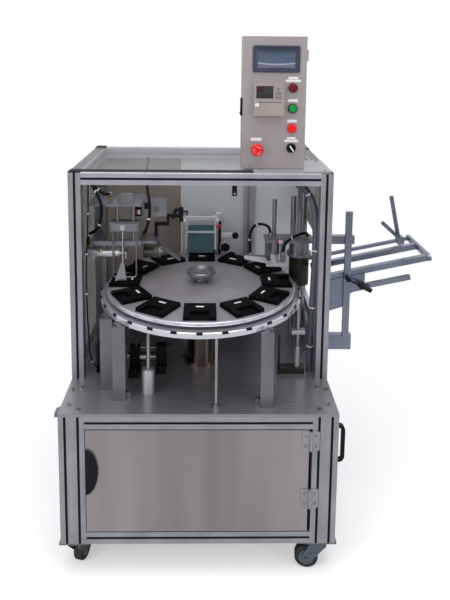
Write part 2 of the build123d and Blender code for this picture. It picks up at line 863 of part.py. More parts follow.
def make_control_box():
    left, right, low, high = box_edges()
    front = box_setback + box_door_depth + box_seal_gap
    back = box_setback + box_depth
    # The body is five sheets: the back, two sides between floor and roof, the floor and the roof
    inner_back = back - box_wall
    body = [
        block(left, right, inner_back, back, low, high),
        block(left, left + box_wall, front, inner_back, low + box_wall, high - box_wall),
        block(right - box_wall, right, front, inner_back, low + box_wall, high - box_wall),
        block(left, right, front, inner_back, low, low + box_wall),
        block(left, right, front, inner_back, high - box_wall, high),
    ]
    # Hinge halves on the body's side: a leaf, the lower knuckle and the pin
    hinge_x, hinge_y = box_hinge()
    hinges = []
    for level in (low + 60.0, high - 60.0):
        hinge = block(right, right + 1.6, front + 6.0, front + 26.0, level - 18.0, level + 18.0)
        hinge += block(right, hinge_x, hinge_y, front + 8.0, level - 18.0, level - 6.0)
        hinge += upright(hinge_x, hinge_y, level - 18.0, level - 6.0, 8.0)
        hinge += upright(hinge_x, hinge_y, level - 18.0, level + 18.0, 3.0)
        hinges.append(hinge)
    keep("control_box_body", body + hinges)

    door = block(left, right, box_setback, box_setback + box_door_depth, low + 1.0, high)
    door -= block(
        left + box_wall,
        right - box_wall,
        box_setback + box_wall,
        box_setback + box_door_depth + 1,
        low + 1.0 + box_wall,
        high - box_wall,
    )
    for level in (low + 60.0, high - 60.0):
        knuckle = upright(hinge_x, hinge_y, level - 6.0 + joint_gap, level + 18.0, 8.0)
        knuckle += block(right, hinge_x, hinge_y - 8.0, hinge_y, level - 6.0 + joint_gap, level + 18.0)
        door += knuckle
        door -= upright(hinge_x, hinge_y, level - 20.0, level + 20.0, 3.0 + 2 * fit_gap)
        notch_top = level - 6.0 + joint_gap
        door -= block(right - 4.0, right + 8.0, hinge_y - 5.0, hinge_y + 5.0, level - 19.0, notch_top)
    holes = [(place, button_stem) for place in (lamp_place, start_place, stop_place, selector_place)]
    rings = []
    for place, diameter in holes + [(estop_place, estop_stem)]:
        x, z = on_box(place)
        door -= level_y(box_setback - 1, box_setback + box_wall + 1, x, z, diameter + 2 * fit_gap)
    for place, diameter in holes:
        x, z = on_box(place)
        inner = button_diameter + 2 * joint_gap
        ring_front = box_setback - button_ring_height
        ring = level_y(ring_front, box_setback, x, z, inner + 2 * button_ring)
        ring -= level_y(ring_front - 1, box_setback + 1, x, z, inner)
        rings.append(ring)
    latch = block(left - 7.0, left, box_setback + 4.0, box_setback + 16.0, low + 175.0, low + 232.0)
    keep("control_box_door", [door + latch] + rings)


def make_panel_devices():
    front = box_setback
    x, z = on_box(screen_place)
    half_w = screen_width / 2
    half_h = screen_height / 2
    bezel = block(x - half_w, x + half_w, front - screen_depth, front, z - half_h, z + half_h)
    bezel = chamfer(bezel.faces().sort_by(Axis.Y)[0].edges(), 2.5)
    recess = block(
        x - half_w + screen_rim, x + half_w - screen_rim, front - screen_depth - 1, front - 3.0,
        z - half_h + screen_rim, z + half_h - screen_rim,
    )
    glass = block(
        x - half_w + screen_rim, x + half_w - screen_rim, front - 4.0, front - 3.0,
        z - half_h + screen_rim, z + half_h - screen_rim,
    )
    keep("touch_screen", [bezel - recess, glass])

    x, z = on_box(counter_place)
    half_w = counter_width / 2
    half_h = counter_height / 2
    body = block(x - half_w, x + half_w, front - 14.0, front, z - 4.0, z + half_h)
    body += block(x - half_w, x + half_w, front - 26.0, front, z - half_h, z - 4.0)
    body = chamfer(body.faces().sort_by(Axis.Y)[0].edges(), 2.0)
    window = block(x - half_w + 8.0, x + 14.0, front - 15.0, front - 12.0, z + 3.0, z + half_h - 10.0)
    body -= window
    display = block(x - half_w + 8.0, x + 14.0, front - 13.0, front - 12.0, z + 3.0, z + half_h - 10.0)
    keys = []
    for column, row in ((0.5, 2), (0, 1), (1, 1), (0, 0), (1, 0)):
        key_x = x + 24.0 + 11.0 * column
        key_z = z + 8.0 + 13.0 * row
        keys.append(block(key_x - 3.5, key_x + 3.5, front - 15.5, front - 14.0, key_z - 3.5, key_z + 3.5))
    keep("counter_module", [body, display] + keys)

    caps = {"pilot_lamp": lamp_place, "start_button": start_place, "stop_button": stop_place}
    for name, place in caps.items():
        x, z = on_box(place)
        head = level_y(front - button_reach - 3.0, front - 4.0, x, z, button_diameter)
        head = chamfer(head.faces().sort_by(Axis.Y)[0].edges(), 1.5)
        head += level_y(front - button_ring_height, front + 12.0, x, z, button_stem)
        keep(name, [head])

    x, z = on_box(selector_place)
    knob = level_y(front - 9.0, front - 1.0, x, z, button_diameter)
    knob += level_y(front - button_ring_height, front + 12.0, x, z, button_stem)
    wing = Box(7.0, 12.0, button_diameter - 2.0)
    knob += Pos(x, front - 14.0, z) * Rot(0, -35, 0) * wing
    keep("selector_knob", [knob])

    x, z = on_box(estop_place)
    radius = estop_diameter / 2
    outline = Polyline(
        (0, -2.0),
        (8.0, -2.0),
        (8.0, 14.0),
        (radius * 0.6, 18.0),
        (radius, 22.0),
        (radius, 29.0),
        (radius * 0.8, 34.0),
        (0, 36.0),
        close=True,
    )
    mushroom = revolve(Plane.XZ * make_face(outline), Axis.Z)
    shell = level_y(front, front + 14.0, x, z, estop_stem)
    keep("emergency_stop", [Pos(x, front, z) * Rot(90, 0, 0) * mushroom + shell])


# Left station: a mast with a top plate, a bar, guide shafts, a shelf with a small motor and a carton chute
def make_left_station():
    x = left_station_x
    y = left_station_y
    low = table + left_bar_height
    top = table + left_plate_height
    half_bar = left_bar_size / 2
    half_wide = left_bar_width / 2
    mast_x = -half_width + left_mast_inset
    mast_left = mast_x - rail_size / 2
    mast_y = y + left_mast_setback
    back = mast_y + rail_size / 2
    mast = profile_bar(rail_size, "Z", (mast_x, mast_y, table), left_plate_height)

    plate_right = x + left_plate_reach
    plate_top = top + left_plate_thickness
    plate = block(mast_left, plate_right, y - left_plate_front, back, top, plate_top)
    wide, thick, tall = left_bracket_size
    bracket_y = y + left_plate_reach
    bracket = block(
        plate_right, plate_right + wide, bracket_y, bracket_y + thick, plate_top - tall, plate_top
    )
    bracket -= level_y(y, back, plate_right + wide / 2, top - tall / 2, 2 * left_shaft_diameter)
    bar = block(mast_left, x + left_bar_reach, y - half_wide, y + half_wide, low - half_bar, low + half_bar)
    tie_right = mast_left + rail_size
    tie = block(mast_left, tie_right, y + half_wide, back - rail_size, low - half_bar, low + half_bar)

    # The shelf behind the bar, two chute bars that slope down to the dial, and the motor under it
    shelf_front = y + half_wide
    shelf_back = shelf_front + left_shelf_depth
    shelf = block(x + left_shelf_from, x + left_shelf_to, shelf_front, shelf_back, low - half_bar, low)
    for setback in chute_setbacks:
        place = Pos(x + chute_place[0], y + setback, low + chute_place[1])
        shelf += place * Rot(0, chute_angle, 0) * Box(*chute_bar_size)
    motor_length_left, motor_across = left_motor_size
    motor_x = x + left_motor_place[0]
    motor_y = y + left_motor_place[1]
    motor_z = low + left_motor_place[2]
    half_motor = motor_length_left / 2
    motor = level_x(motor_x - half_motor, motor_x + half_motor, motor_y, motor_z, motor_across)
    motor = chamfer(motor.edges().filter_by(GeomType.CIRCLE), motor_across / 16)
    shaft_from = motor_x + half_motor
    motor += level_x(shaft_from, shaft_from + motor_across / 4, motor_y, motor_z, motor_across / 4)
    hanger = block(
        motor_x - half_motor / 2, motor_x + half_motor / 2, motor_y - half_bar, motor_y + half_bar,
        motor_z + motor_across * 0.4, low - half_bar,
    )

    # Two cranked levers that stand on the shelf, with a pin at the far end
    cranks = make_face(
        Polyline(
            (-11.0, 0),
            (0, 0),
            (0, 38.0),
            (41.0, 38.0),
            (41.0, 68.0),
            (79.0, 68.0),
            (79.0, 52.0),
            (91.0, 52.0),
            (91.0, 76.0),
            (109.0, 76.0),
            (109.0, 92.0),
            (79.0, 92.0),
            (79.0, 80.0),
            (33.0, 80.0),
            (33.0, 50.0),
            (-11.0, 50.0),
            close=True,
        )
    )
    cranks = extrude(Plane.XZ * cranks, amount=half_bar / 2, both=True)
    cranks += level_y(-half_wide, half_wide, 99.0, 84.0, left_shaft_diameter)
    cranks = Pos(x + left_shelf_to - 1.0, motor_y, low) * cranks

    pieces = [mast, plate + bracket, bar + tie, shelf, motor + hanger, cranks]
    for side in (-1, 1):
        pieces.append(upright(x + side * left_shaft_offset, y, low + half_bar, top, left_shaft_diameter))
    arch_length, arch_depth, arch_height = left_arch_size
    arch_align = (Align.CENTER, Align.CENTER, Align.MIN)
    arch = Pos(x, y + arch_depth * 2, plate_top) * Box(arch_length, arch_depth, arch_height, align=arch_align)
    arch = fillet(arch.edges().filter_by(Axis.Y).group_by(Axis.Z)[-1], arch_height * 0.7)
    arch -= Pos(x, y + arch_depth * 2, plate_top - 1) * Box(
        arch_length - 2 * left_arch_bar, arch_depth + 2, arch_height - left_arch_bar + 1, align=arch_align
    )
    pieces.append(arch)

    # Cylinder along the table, with a rod over it, held in three clamps
    tube_y, tube_z, tube_diameter = table_tube
    rod_y, rod_z, rod_diameter = table_tube_rod
    half_clamp = table_clamp_width / 2
    for clamp_x, clamp_front in table_clamps:
        left_face = clamp_x - half_clamp
        right_face = clamp_x + half_clamp
        body_front = tube_y - tube_diameter * 0.6
        clamp = block(left_face, right_face, body_front, table_clamp_back, table, table + table_clamp_height)
        foot_top = table + table_clamp_foot
        clamp += block(left_face, right_face, clamp_front, table_clamp_back, table, foot_top)
        pieces.append(clamp)
    for (before, _), (after, _) in zip(table_clamps, table_clamps[1:]):
        start = before + half_clamp
        end = after - half_clamp
        pieces.append(level_x(start, end, tube_y, table + tube_z, tube_diameter))
        pieces.append(level_x(start, end, rod_y, table + rod_z, rod_diameter))
    keep("left_mast", pieces)

    rest = low + carriage_rise
    long, deep, tall = carriage_size
    carriage = block(x - long / 2, x + long / 2, y - deep / 2, y + deep / 2, rest, rest + tall)
    for side in (-1, 1):
        bore = left_shaft_diameter + 2 * fit_gap
        carriage -= upright(x + side * left_shaft_offset, y, rest - 1, rest + tall + 1, bore)
    front_face = y - deep / 2
    apron_top = rest + tall - 4.0
    carriage += block(x - long * 0.4, x + long * 0.44, front_face - 10.0, front_face, rest + 4.0, apron_top)
    # The wire bow hangs in front of the bar and spans the carton in its nest
    bow_y = front_face - 5.0
    bow_low = dial_top + nest_height + bow_clearance
    path = FilletPolyline(
        (x - bow_half_span, bow_y, rest + 6.0),
        (x - bow_half_span, bow_y, bow_low),
        (x + bow_half_span, bow_y, bow_low),
        (x + bow_half_span, bow_y, rest + 6.0),
        radius=9.0,
    )
    bow = sweep(Plane(origin=path @ 0, z_dir=path % 0) * Circle(bow_wire / 2), path=path)
    keep("left_lift", [carriage, bow])

    funnel_low = bow_low + 4.0
    funnel_y = front_face - 12.0
    outline = make_face(
        Polyline((-34.0, 0), (16.0, 0), (6.0, funnel_height), (-8.0, funnel_height), close=True)
    )
    funnel = Pos(x - 6.0, funnel_y, funnel_low) * extrude(Plane.XZ * outline, amount=1.5, both=True)
    hanger = block(x - 14.0, x, funnel_y - 1.5, funnel_y + 1.5, funnel_low + funnel_height, rest + 24.0)
    keep("left_funnel", [funnel + hanger])

    cylinder_z = low - left_cylinder_drop
    body_y = y + 2.0
    body_start = x - 105.0
    body_end = x - 20.0
    half_end = left_cylinder_diameter / 2 + 3.0
    body = level_x(body_start, body_end, body_y, cylinder_z, left_cylinder_diameter)
    body += block(
        body_start - 2 * half_end, body_start, body_y - half_end, body_y + half_end,
        cylinder_z - half_end, cylinder_z + half_end,
    )
    body -= level_x(body_end - 60.0, body_end + 1, body_y, cylinder_z, left_rod_diameter + 2 * fit_gap)
    # A bracket joins the cylinder's end to the tie of the bar above it
    bracket_low = cylinder_z - half_bar
    bracket_high = cylinder_z + half_bar
    bracket_back = y + 56.0
    bracket = block(
        body_start - 23.0, body_start, body_y + half_end, bracket_back, bracket_low, bracket_high
    )
    strap = block(
        body_start - 20.0, body_start - 2.0, bracket_back - 16.0, bracket_back, bracket_high, low - half_bar
    )
    keep("left_cylinder", [body, bracket, strap])
    rod = level_x(body_end - 50.0, body_end + 18.0, body_y, cylinder_z, left_rod_diameter)
    rod += block(body_end + 18.0, body_end + 26.0, y - 12.0, y + 16.0, cylinder_z - 14.0, cylinder_z + 10.0)
    keep("left_push_rod", [rod])


# Right station: guide shafts over a plate, a lift cylinder, and an arm with a white tongue
def make_right_station():
    x = right_station_x
    y = right_station_y
    plate_z = table + right_plate_height
    plate_top = plate_z + right_plate_thickness
    plate_front = y - right_plate_half_depth
    plate_back = y + right_plate_half_depth
    plate = block(x - right_plate_left, x + right_plate_right, plate_front, plate_back, plate_z, plate_top)
    for dx, dy, diameter, rise in right_shafts:
        plate -= upright(x + dx, y + dy, plate_z - 1, plate_top + 1, diameter)
    # Straps and feet that hold the lower ends of the two hoses
    arch_strap = block(x - 105.0, x - 83.0, y + 28.0, y + 34.0, plate_z - 93.0, plate_z)
    arch_foot = block(x - 171.0, x - 83.0, y + 34.0, y + 70.0, plate_z - 93.0, plate_z - 81.0)
    bend_strap = block(x - 55.0, x - 35.0, plate_front, plate_front + 6.0, plate_z - 68.0, plate_z)
    bend_foot = block(x - 55.0, x - 35.0, plate_front - 18.0, plate_front, plate_z - 62.0, plate_z - 42.0)
    pieces = [plate, arch_strap, arch_foot, bend_strap, bend_foot]
    for dx, dy, diameter, rise in right_shafts:
        # The shaft nearest the dial ends just under the plate, the others stand on the table
        foot = table if dx > arm_place[0] else plate_z - 20.0
        pieces.append(upright(x + dx, y + dy, foot, plate_top + rise, diameter))
    cylinder_x = x + lift_cylinder_place[0]
    cylinder_y = y + lift_cylinder_place[1]
    cylinder_low = table + lift_cylinder_bottom
    pieces.append(upright(cylinder_x, cylinder_y, cylinder_low, plate_z, lift_cylinder_diameter))
    flange_low = table + lift_flange_height
    flange_high = flange_low + lift_flange_thickness
    flange = upright(cylinder_x, cylinder_y, flange_low, flange_high, lift_flange_diameter)
    flange -= upright(cylinder_x, cylinder_y, flange_low - 1, flange_high + 1, lift_cylinder_diameter)
    for dx, dy, diameter, rise in right_shafts:
        flange -= upright(x + dx, y + dy, flange_low - 1, flange_high + 1, diameter)
    pieces.append(flange)
    rod_x = x + arm_place[0]
    rod_y = y + arm_place[1]
    bush = upright(rod_x, rod_y, plate_z - arm_bush_drop, plate_z, arm_bush_diameter)
    bush -= upright(rod_x, rod_y, plate_z - arm_bush_drop - 1, plate_z - 2.0, arm_rod_diameter + 2 * fit_gap)
    pieces.append(bush)
    keep("right_mast", pieces)

    arm_z = dial_top + nest_height + arm_clearance
    arm_top = arm_z + 14.0
    arm = upright(rod_x, rod_y, arm_top - 2.0, plate_z - 26.0, arm_rod_diameter)
    arm += block(rod_x - 32.0, rod_x + 40.0, rod_y - 14.0, rod_y + 14.0, arm_z, arm_top)
    keep("right_arm", [arm])

    # White tongue with a rounded nose, tipped a little towards the dial's middle
    nose_x = -tongue_length + tongue_nose
    tongue = make_face(
        Polyline(
            (0, -tongue_half_width),
            (0, tongue_half_width),
            (nose_x, tongue_nose),
            (nose_x, -tongue_nose),
            close=True,
        )
    )
    tongue = extrude(tongue, amount=tongue_thickness)
    tongue += Pos(nose_x, 0, tongue_thickness / 2) * Cylinder(tongue_nose, tongue_thickness)
    tongue = Rot(0, tongue_tip, 0) * tongue
    keep("right_paddle", [Pos(rod_x - 30.0, rod_y, arm_top + 2.0) * tongue])


def make_rear_magazine():
    x = rear_magazine_x
    front = rear_magazine_y
    low = dial_top + nest_height + 22.0
    high = table + rear_magazine_top
    leg_y = cage_back - rear_leg_inset
    half_leg = rear_leg_size / 2
    half_carton = carton_width / 2
    pieces = []
    for side in (-1, 1):
        guide_x = x + side * (half_carton + 7.0)
        arm_x = x + side * (half_carton + 15.0)
        leg_x = x + side * (half_carton + 21.0)
        half_guide = rear_guide_thickness / 2
        guide_back = front + rear_guide_depth
        leg_front = leg_y - half_leg
        pieces.append(block(guide_x - half_guide, guide_x + half_guide, front, guide_back, low, high))
        pieces.append(block(leg_x - half_leg, leg_x + half_leg, leg_front, leg_y + half_leg, table, high))
        pieces.append(block(arm_x - 5.0, arm_x + 5.0, front + 40.0, leg_front, high - 40.0, high - 20.0))
    across = half_carton + 10.0
    pieces.append(block(x - across, x + across, front, front + 10.0, high, high + rear_bar_height))
    pieces.append(block(x - across + 6.0, x + across - 6.0, front - 2.0, front, low + 66.0, low + 74.0))

    # Two clamp knobs on a hanger beside the right arm
    hanger_left = x + half_carton + 20.0
    hanger_front = front + 44.0
    hanger_back = hanger_front + 12.0
    hanger = block(hanger_left, hanger_left + 10.0, hanger_front, hanger_back, high - 150.0, high - 20.0)
    reach, level, diameter, length = rear_knobs[-1]
    hanger += block(
        hanger_left,
        x + reach + diameter / 2,
        hanger_front,
        hanger_back,
        table + level - 7.0,
        table + level + 7.0,
    )
    for reach, level, diameter, length in rear_knobs:
        knob = level_y(hanger_front - length, hanger_front, x + reach, table + level, diameter)
        hanger += chamfer(knob.faces().sort_by(Axis.Y)[0].edges(), 3.0)
    pieces.append(hanger)
    keep("rear_magazine", pieces)

    cartons = []
    for index in range(carton_count):
        y_from = front + 2.0 + index * carton_pitch
        y_to = y_from + carton_pitch - carton_gap
        cartons.append(block(x - half_carton, x + half_carton, y_from, y_to, low, high - 14.0))
    keep("loaded_cartons", cartons)


def on_slope(distance, lift):
    angle = math.radians(magazine_slope)
    x = magazine_foot_x + distance * math.cos(angle) - lift * math.sin(angle)
    z = table + magazine_foot_height + distance * math.sin(angle) + lift * math.cos(angle)
    return x, z


def sloped(x_from, x_to, y_from, y_to, z_from, z_to):
    body = block(x_from, x_to, y_from, y_to, z_from, z_to)
    return Pos(magazine_foot_x, 0, table + magazine_foot_height) * Rot(0, -magazine_slope, 0) * body


def make_magazine():
    near = magazine_near
    middle = near + carton_width + 24.0
    far = near + magazine_width
    bar_half_width = (far - near + 32.0) / 2
    crossbar = extrude(Plane.YZ * RectangleRounded(2 * bar_half_width, 24.0, 11.5), amount=10.0)
    slope = Pos(magazine_foot_x, 0, table + magazine_foot_height) * Rot(0, -magazine_slope, 0)
    pieces = [
        sloped(0, magazine_length, near - 10.0, near + 10.0, -10.0, 10.0),
        sloped(0, magazine_length, middle - 10.0, middle + 10.0, -10.0, 10.0),
        sloped(0, magazine_length, far - 6.0, far + 6.0, -6.0, 6.0),
        slope * Pos(magazine_length, near - 18.0 + bar_half_width, 0) * crossbar,
        sloped(20.0, 34.0, near - 10.0, far + 6.0, -24.0, -10.0),
        sloped(magazine_length * 0.4, magazine_length * 0.82, near - 8.0, near + 8.0, -66.0, -50.0),
    ]
    # Upright flat bar, its two arms on the cage's side rails, and the plate that carries the rails
    bar_x = magazine_bar_x
    bar_y = near - 26.0
    bar_back = bar_y + magazine_bar_thickness
    face = half_width
    bar_low = table + magazine_rail_low + 10.0
    bar_high = table + magazine_bar_top
    pieces.append(block(bar_x, bar_x + magazine_bar_width, bar_y, bar_back, bar_low, bar_high))
    for z, below in ((magazine_rail_low, 40.0), (magazine_rail_high, 14.0)):
        arm_low = table + z - below
        pieces.append(block(face, bar_x + 34.0, bar_back, bar_back + 22.0, arm_low, table + z + 14.0))
    # The cheek's cut-out is one arc from its front edge to its lower edge
    cheek = make_face(
        [
            *Polyline(
                (44.0, -96.0),
                (0, -110.0),
                (0, 0),
                (magazine_cheek_length, 26.0),
                (magazine_cheek_length, -34.0),
                (90.0, -40.0),
            ).edges(),
            *ThreePointArc((90.0, -40.0), (58.0, -58.0), (44.0, -96.0)).edges(),
        ]
    )
    cheek = extrude(Plane.XZ * cheek, amount=-6.0)
    pieces.append(Pos(face + 18.0, near - 16.0, table + magazine_foot_height + 2.0) * cheek)
    keep("magazine_frame", pieces)

    # Carton follower: a saddle on the far rod with an upright bar and a slanting bar
    rest = magazine_length - 18.0
    saddle = sloped(rest - 24.0, rest, far - 16.0, far + 16.0, -14.0, 14.0)
    bore = 6.0 + joint_gap
    saddle -= sloped(rest - 25.0, rest + 1, far - bore, far + bore, -bore, bore)
    guide = saddle + sloped(rest - 20.0, rest - 6.0, far + 7.0, far + 15.0, 10.0, 172.0)
    slant = Box(14.0, 8.0, 96.0, align=(Align.CENTER, Align.MIN, Align.MIN))
    x, z = on_slope(rest - 13.0, 8.0)
    guide += Pos(x, far - 14.0, z) * Rot(0, -48, 0) * slant
    keep("magazine_guide", [guide])

    x, y, z = lever_upper_pivot()
    standing = (Align.CENTER, Align.CENTER, Align.MIN)
    lever = level_y(y - 20.0, y, x, z, 16.0)
    arm_place = Pos(x, y - 13.0, z) * Rot(0, 118, 0)
    arm = arm_place * Cylinder(3.5, 46.0, align=standing)
    grip = arm_place * Pos(0, 0, 44.0) * Cylinder(6.5, 46.0, align=standing)
    keep("magazine_lever_upper", [lever + arm + grip])

    x, y, z = lever_lower_pivot()
    lever = level_y(y - 14.0, y, x, z, 18.0)
    arm = Pos(x, y - 9.0, z) * Rot(0, 110, 0) * Cylinder(5.0, 40.0, align=standing)
    keep("magazine_lever_lower", [lever + arm])


def lever_upper_pivot():
    return magazine_bar_x + 11.0, magazine_near - 26.0 - joint_gap, table + magazine_foot_height + 14.0


def lever_lower_pivot():
    cheek_front = magazine_near - 16.0
    return half_width + 18.0 + 104.0, cheek_front - joint_gap, table + magazine_foot_height - 16.0


# Hoses start from their station's place. A drop gives each point as a share of its own height,
# and an arch gives it as a height above the right plate
def make_hoses():
    left = (left_station_x, left_station_y)
    under_rail = cage_height - rail_size
    left_plate_top = left_plate_height + left_plate_thickness
    left_port = left_bar_height - left_cylinder_drop + left_port_height
    drops = {
        "left supply": (
            under_rail,
            left_plate_top,
            [
                (-136, 95, 1),
                (-136, 95, 0.65),
                (-119, 79, 0.35),
                (-91, 57, 0.26),
                (-65, 39, 0.28),
                (-55, 31, 0.22),
                (-55, 31, 0),
            ],
        ),
        "left branch": (
            under_rail,
            left_port,
            [
                (-136, 63, 1),
                (-136, 63, 0.82),
                (-132, 49, 0.64),
                (-133, 35, 0.44),
                (-131, 19, 0.23),
                (-132, 9, 0.14),
                (-132, 9, 0),
            ],
        ),
        "middle drop": (
            cage_height,
            left_bar_height,
            [
                (68, 135, 1),
                (68, 135, 0.8),
                (77, 123, 0.62),
                (81, 110, 0.44),
                (75, 97, 0.28),
                (59, 85, 0.15),
                (59, 85, 0),
            ],
        ),
    }
    arches = {
        "right arch": [
            (-159, 60, -81),
            (-159, 60, -46),
            (-163, 52, 0),
            (-153, 44, 36),
            (-131, 32, 54),
            (-105, 20, 54),
            (-87, 12, 40),
            (-87, 12, right_plate_thickness),
        ],
        "right bend": [
            (-45, -49, -42),
            (-45, -49, -12),
            (-31, -53, 14),
            (-3, -53, 32),
            (23, -46, 40),
            (41, -34, 38),
            (47, -28, 30),
            (47, -28, right_plate_thickness),
        ],
    }
    hoses = []
    for name, (high, low, points) in drops.items():
        raised = [(left[0] + x, left[1] + y, table + low + share * (high - low)) for x, y, share in points]
        hoses.append(hose(name, raised, hose_diameter))
    for name, points in arches.items():
        level = table + right_plate_height
        raised = [(right_station_x + x, right_station_y + y, level + z) for x, y, z in points]
        hoses.append(hose(name, raised, hose_diameter))
    keep("air_hoses", hoses)

    # The cable bundle runs down inside the right front post, its heights are shares of the cage's
    bundle_points = [
        (-134, 95, 1),
        (-134, 95, 0.957),
        (-106, 89, 0.926),
        (-76, 82, 0.901),
        (-52, 71, 0.844),
        (-43, 62, 0.765),
        (-41, 59, 0.61),
        (-46, 59, 0.354),
        (-52, 59, 0.156),
        (-52, 59, 0),
    ]
    raised = [(half_width + x, cage_front + y, table + share * cage_height) for x, y, share in bundle_points]
    bundle = hose("cable bundle", raised, conduit_diameter)
    keep("cable_bundle", [bundle])


make_base_frame()
make_table_plate()
make_cabinet_panels()
make_hinges()
make_cabinet_door()
make_side_handle()
make_mains_switch()
make_casters()
make_drive()
make_dial()
make_guide_ring()
make_cage()
make_control_box()
make_panel_devices()
make_left_station()
make_right_station()
make_rear_magazine()
make_magazine()
make_hoses()

# The origin is on the floor, under the middle of the whole machine
every_solid = [solid for shape in nodes.values() for solid in shape.solids()]
extent = Compound(every_solid).bounding_box()
shift = Pos(-(extent.min.X + extent.max.X) / 2, -(extent.min.Y + extent.max.Y) / 2, -extent.min.Z)
print("frame origin moved by", shift.position)
for name, shape in nodes.items():
    export_step(shift * Compound(shape.solids()), "parts/" + name + ".step")
print(len(nodes), "nodes written")
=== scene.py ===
import bpy
import bmesh
import math
from mathutils import Matrix, Vector


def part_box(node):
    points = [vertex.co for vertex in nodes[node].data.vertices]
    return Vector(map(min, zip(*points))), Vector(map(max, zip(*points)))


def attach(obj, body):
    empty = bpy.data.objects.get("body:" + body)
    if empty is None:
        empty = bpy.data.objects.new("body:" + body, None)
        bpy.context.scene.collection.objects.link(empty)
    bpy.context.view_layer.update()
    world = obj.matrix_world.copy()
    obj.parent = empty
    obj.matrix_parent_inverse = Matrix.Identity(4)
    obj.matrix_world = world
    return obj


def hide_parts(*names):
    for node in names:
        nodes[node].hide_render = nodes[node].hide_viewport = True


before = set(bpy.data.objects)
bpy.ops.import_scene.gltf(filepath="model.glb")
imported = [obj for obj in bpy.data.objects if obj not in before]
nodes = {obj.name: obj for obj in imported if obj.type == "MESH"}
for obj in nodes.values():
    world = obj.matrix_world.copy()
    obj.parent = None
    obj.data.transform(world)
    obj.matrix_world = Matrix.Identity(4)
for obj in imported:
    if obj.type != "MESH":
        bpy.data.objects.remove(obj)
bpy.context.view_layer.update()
print("frame loaded")

# Places are in millimetres from the cabinet's middle, its front face and the floor
machine = {
    "width": 860, "depth": 740, "base": 115, "under": 541, "table": 551, "post": 80, "rail": 40,
    "cageFront": 205, "cageTop": 1257, "dialTop": 837, "dialBack": 345,
}
half, depth, post, rail = machine["width"] / 2, machine["depth"], machine["post"], machine["rail"]
table, cageFront, cageTop = machine["table"], machine["cageFront"], machine["cageTop"]
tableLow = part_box("table_plate")[0]
middleX = tableLow[0] + half / 1000
frontY = tableLow[1]


def spot(x, y, z):
    return Vector((x / 1000 + middleX, y / 1000 + frontY, z / 1000))


def fromWorld(place):
    return Vector(((place[0] - middleX) * 1000, (place[1] - frontY) * 1000, place[2] * 1000))


def paint(code):  # sRGB hex to a linear colour
    parts = [int(code[i:i + 2], 16) / 255 for i in (1, 3, 5)]
    return [p / 12.92 if p <= 0.04045 else ((p + 0.055) / 1.055) ** 2.4 for p in parts] + [1.0]


def placed(name, data):
    made = bpy.data.objects.new(name, data)
    bpy.context.scene.collection.objects.link(made)
    return made


# Camera at the photograph's own viewing angle
viewing = {
    "place": (21.73, -1762.1, 1654.75),
    "yaw": 0.0172,
    "down": 0.1302,
    "roll": 0.0097,
    "focalPixels": 619.71,
    "centrePixel": (218.80, 130.49),
    "picture": (450, 600),
    "film": 36.0,
    "farthest": 100.0,
}


def makeCamera():
    data = bpy.data.cameras.new("camera")
    camera = placed("camera", data)
    yaw, down, roll = viewing["yaw"], viewing["down"], viewing["roll"]
    ahead = Vector((math.sin(yaw) * math.cos(down), math.cos(yaw) * math.cos(down), -math.sin(down)))
    right = Vector((math.cos(yaw), -math.sin(yaw), 0))
    up = right.cross(ahead)
    across = math.cos(roll) * right + math.sin(roll) * up
    above = -math.sin(roll) * right + math.cos(roll) * up
    turn = Matrix((across, above, -ahead)).transposed().to_4x4()
    camera.matrix_world = Matrix.Translation(spot(*viewing["place"])) @ turn
    wide, high = viewing["picture"]
    data.sensor_width = viewing["film"]
    data.lens = viewing["focalPixels"] * viewing["film"] / high
    data.shift_x = (wide / 2 - viewing["centrePixel"][0]) / high
    data.shift_y = (viewing["centrePixel"][1] - high / 2) / high
    data.clip_end = viewing["farthest"]
    bpy.context.scene.camera = camera


makeCamera()
print("camera placed")


# A setting named like an attribute of the node sets that, and any other sets the input of its name
def addNode(tree, kind, settings=None, links=None):
    node = tree.nodes.new(kind)
    for name, value in (settings or {}).items():
        if isinstance(name, str) and hasattr(node, name):
            setattr(node, name, value)
        else:
            node.inputs[name].default_value = value
    for name, source in (links or {}).items():
        tree.links.new(source, node.inputs[name])
    return node


def freshTree(owner):
    owner.use_nodes = True
    owner.node_tree.nodes.clear()
    return owner.node_tree


# How fine the grain, the slow blotch and the lathe marks break up
grainNoise = {"Detail": 3.0, "Roughness": 0.6}
blotchNoise = {"Detail": 2.0, "Roughness": 0.5}
latheNoise = {"Detail": 4.0, "Roughness": 0.7}


# Grain in cells of the given millimetres along x, y and z, or in even cells for one number
def grainPattern(tree, place, cell, kind):
    scale = tuple(1000 / size for size in (cell if isinstance(cell, tuple) else (cell,) * 3))
    place = addNode(tree, "ShaderNodeMapping", {"Scale": scale}, {"Vector": place}).outputs["Vector"]
    return addNode(tree, "ShaderNodeTexNoise", {"Scale": 1.0, **kind}, {"Vector": place}).outputs["Fac"]


# Turned marks run round the dial's own axis, at the given spacing in millimetres
def lathePattern(tree, place, spacing):
    middle = spot(0, machine["dialBack"], 0)
    centred = {"Location": (-middle[0], -middle[1], 0.0)}
    place = addNode(tree, "ShaderNodeMapping", centred, {"Vector": place}).outputs["Vector"]
    flat = addNode(tree, "ShaderNodeVectorMath", {"operation": "MULTIPLY", 1: (1, 1, 0)}, {0: place})
    reach = addNode(tree, "ShaderNodeVectorMath", {"operation": "LENGTH"}, {0: flat.outputs["Vector"]})
    lathe = {"noise_dimensions": "1D", "Scale": 1000 / spacing, **latheNoise}
    return addNode(tree, "ShaderNodeTexNoise", lathe, {"W": reach.outputs["Value"]}).outputs["Fac"]


# Where in the noise the two tones and the two roughness values are reached, and how deep the bump is
spread = {"firstTone": 0.32, "lastTone": 0.68, "firstGloss": 0.3, "lastGloss": 0.7, "bump": 0.6}


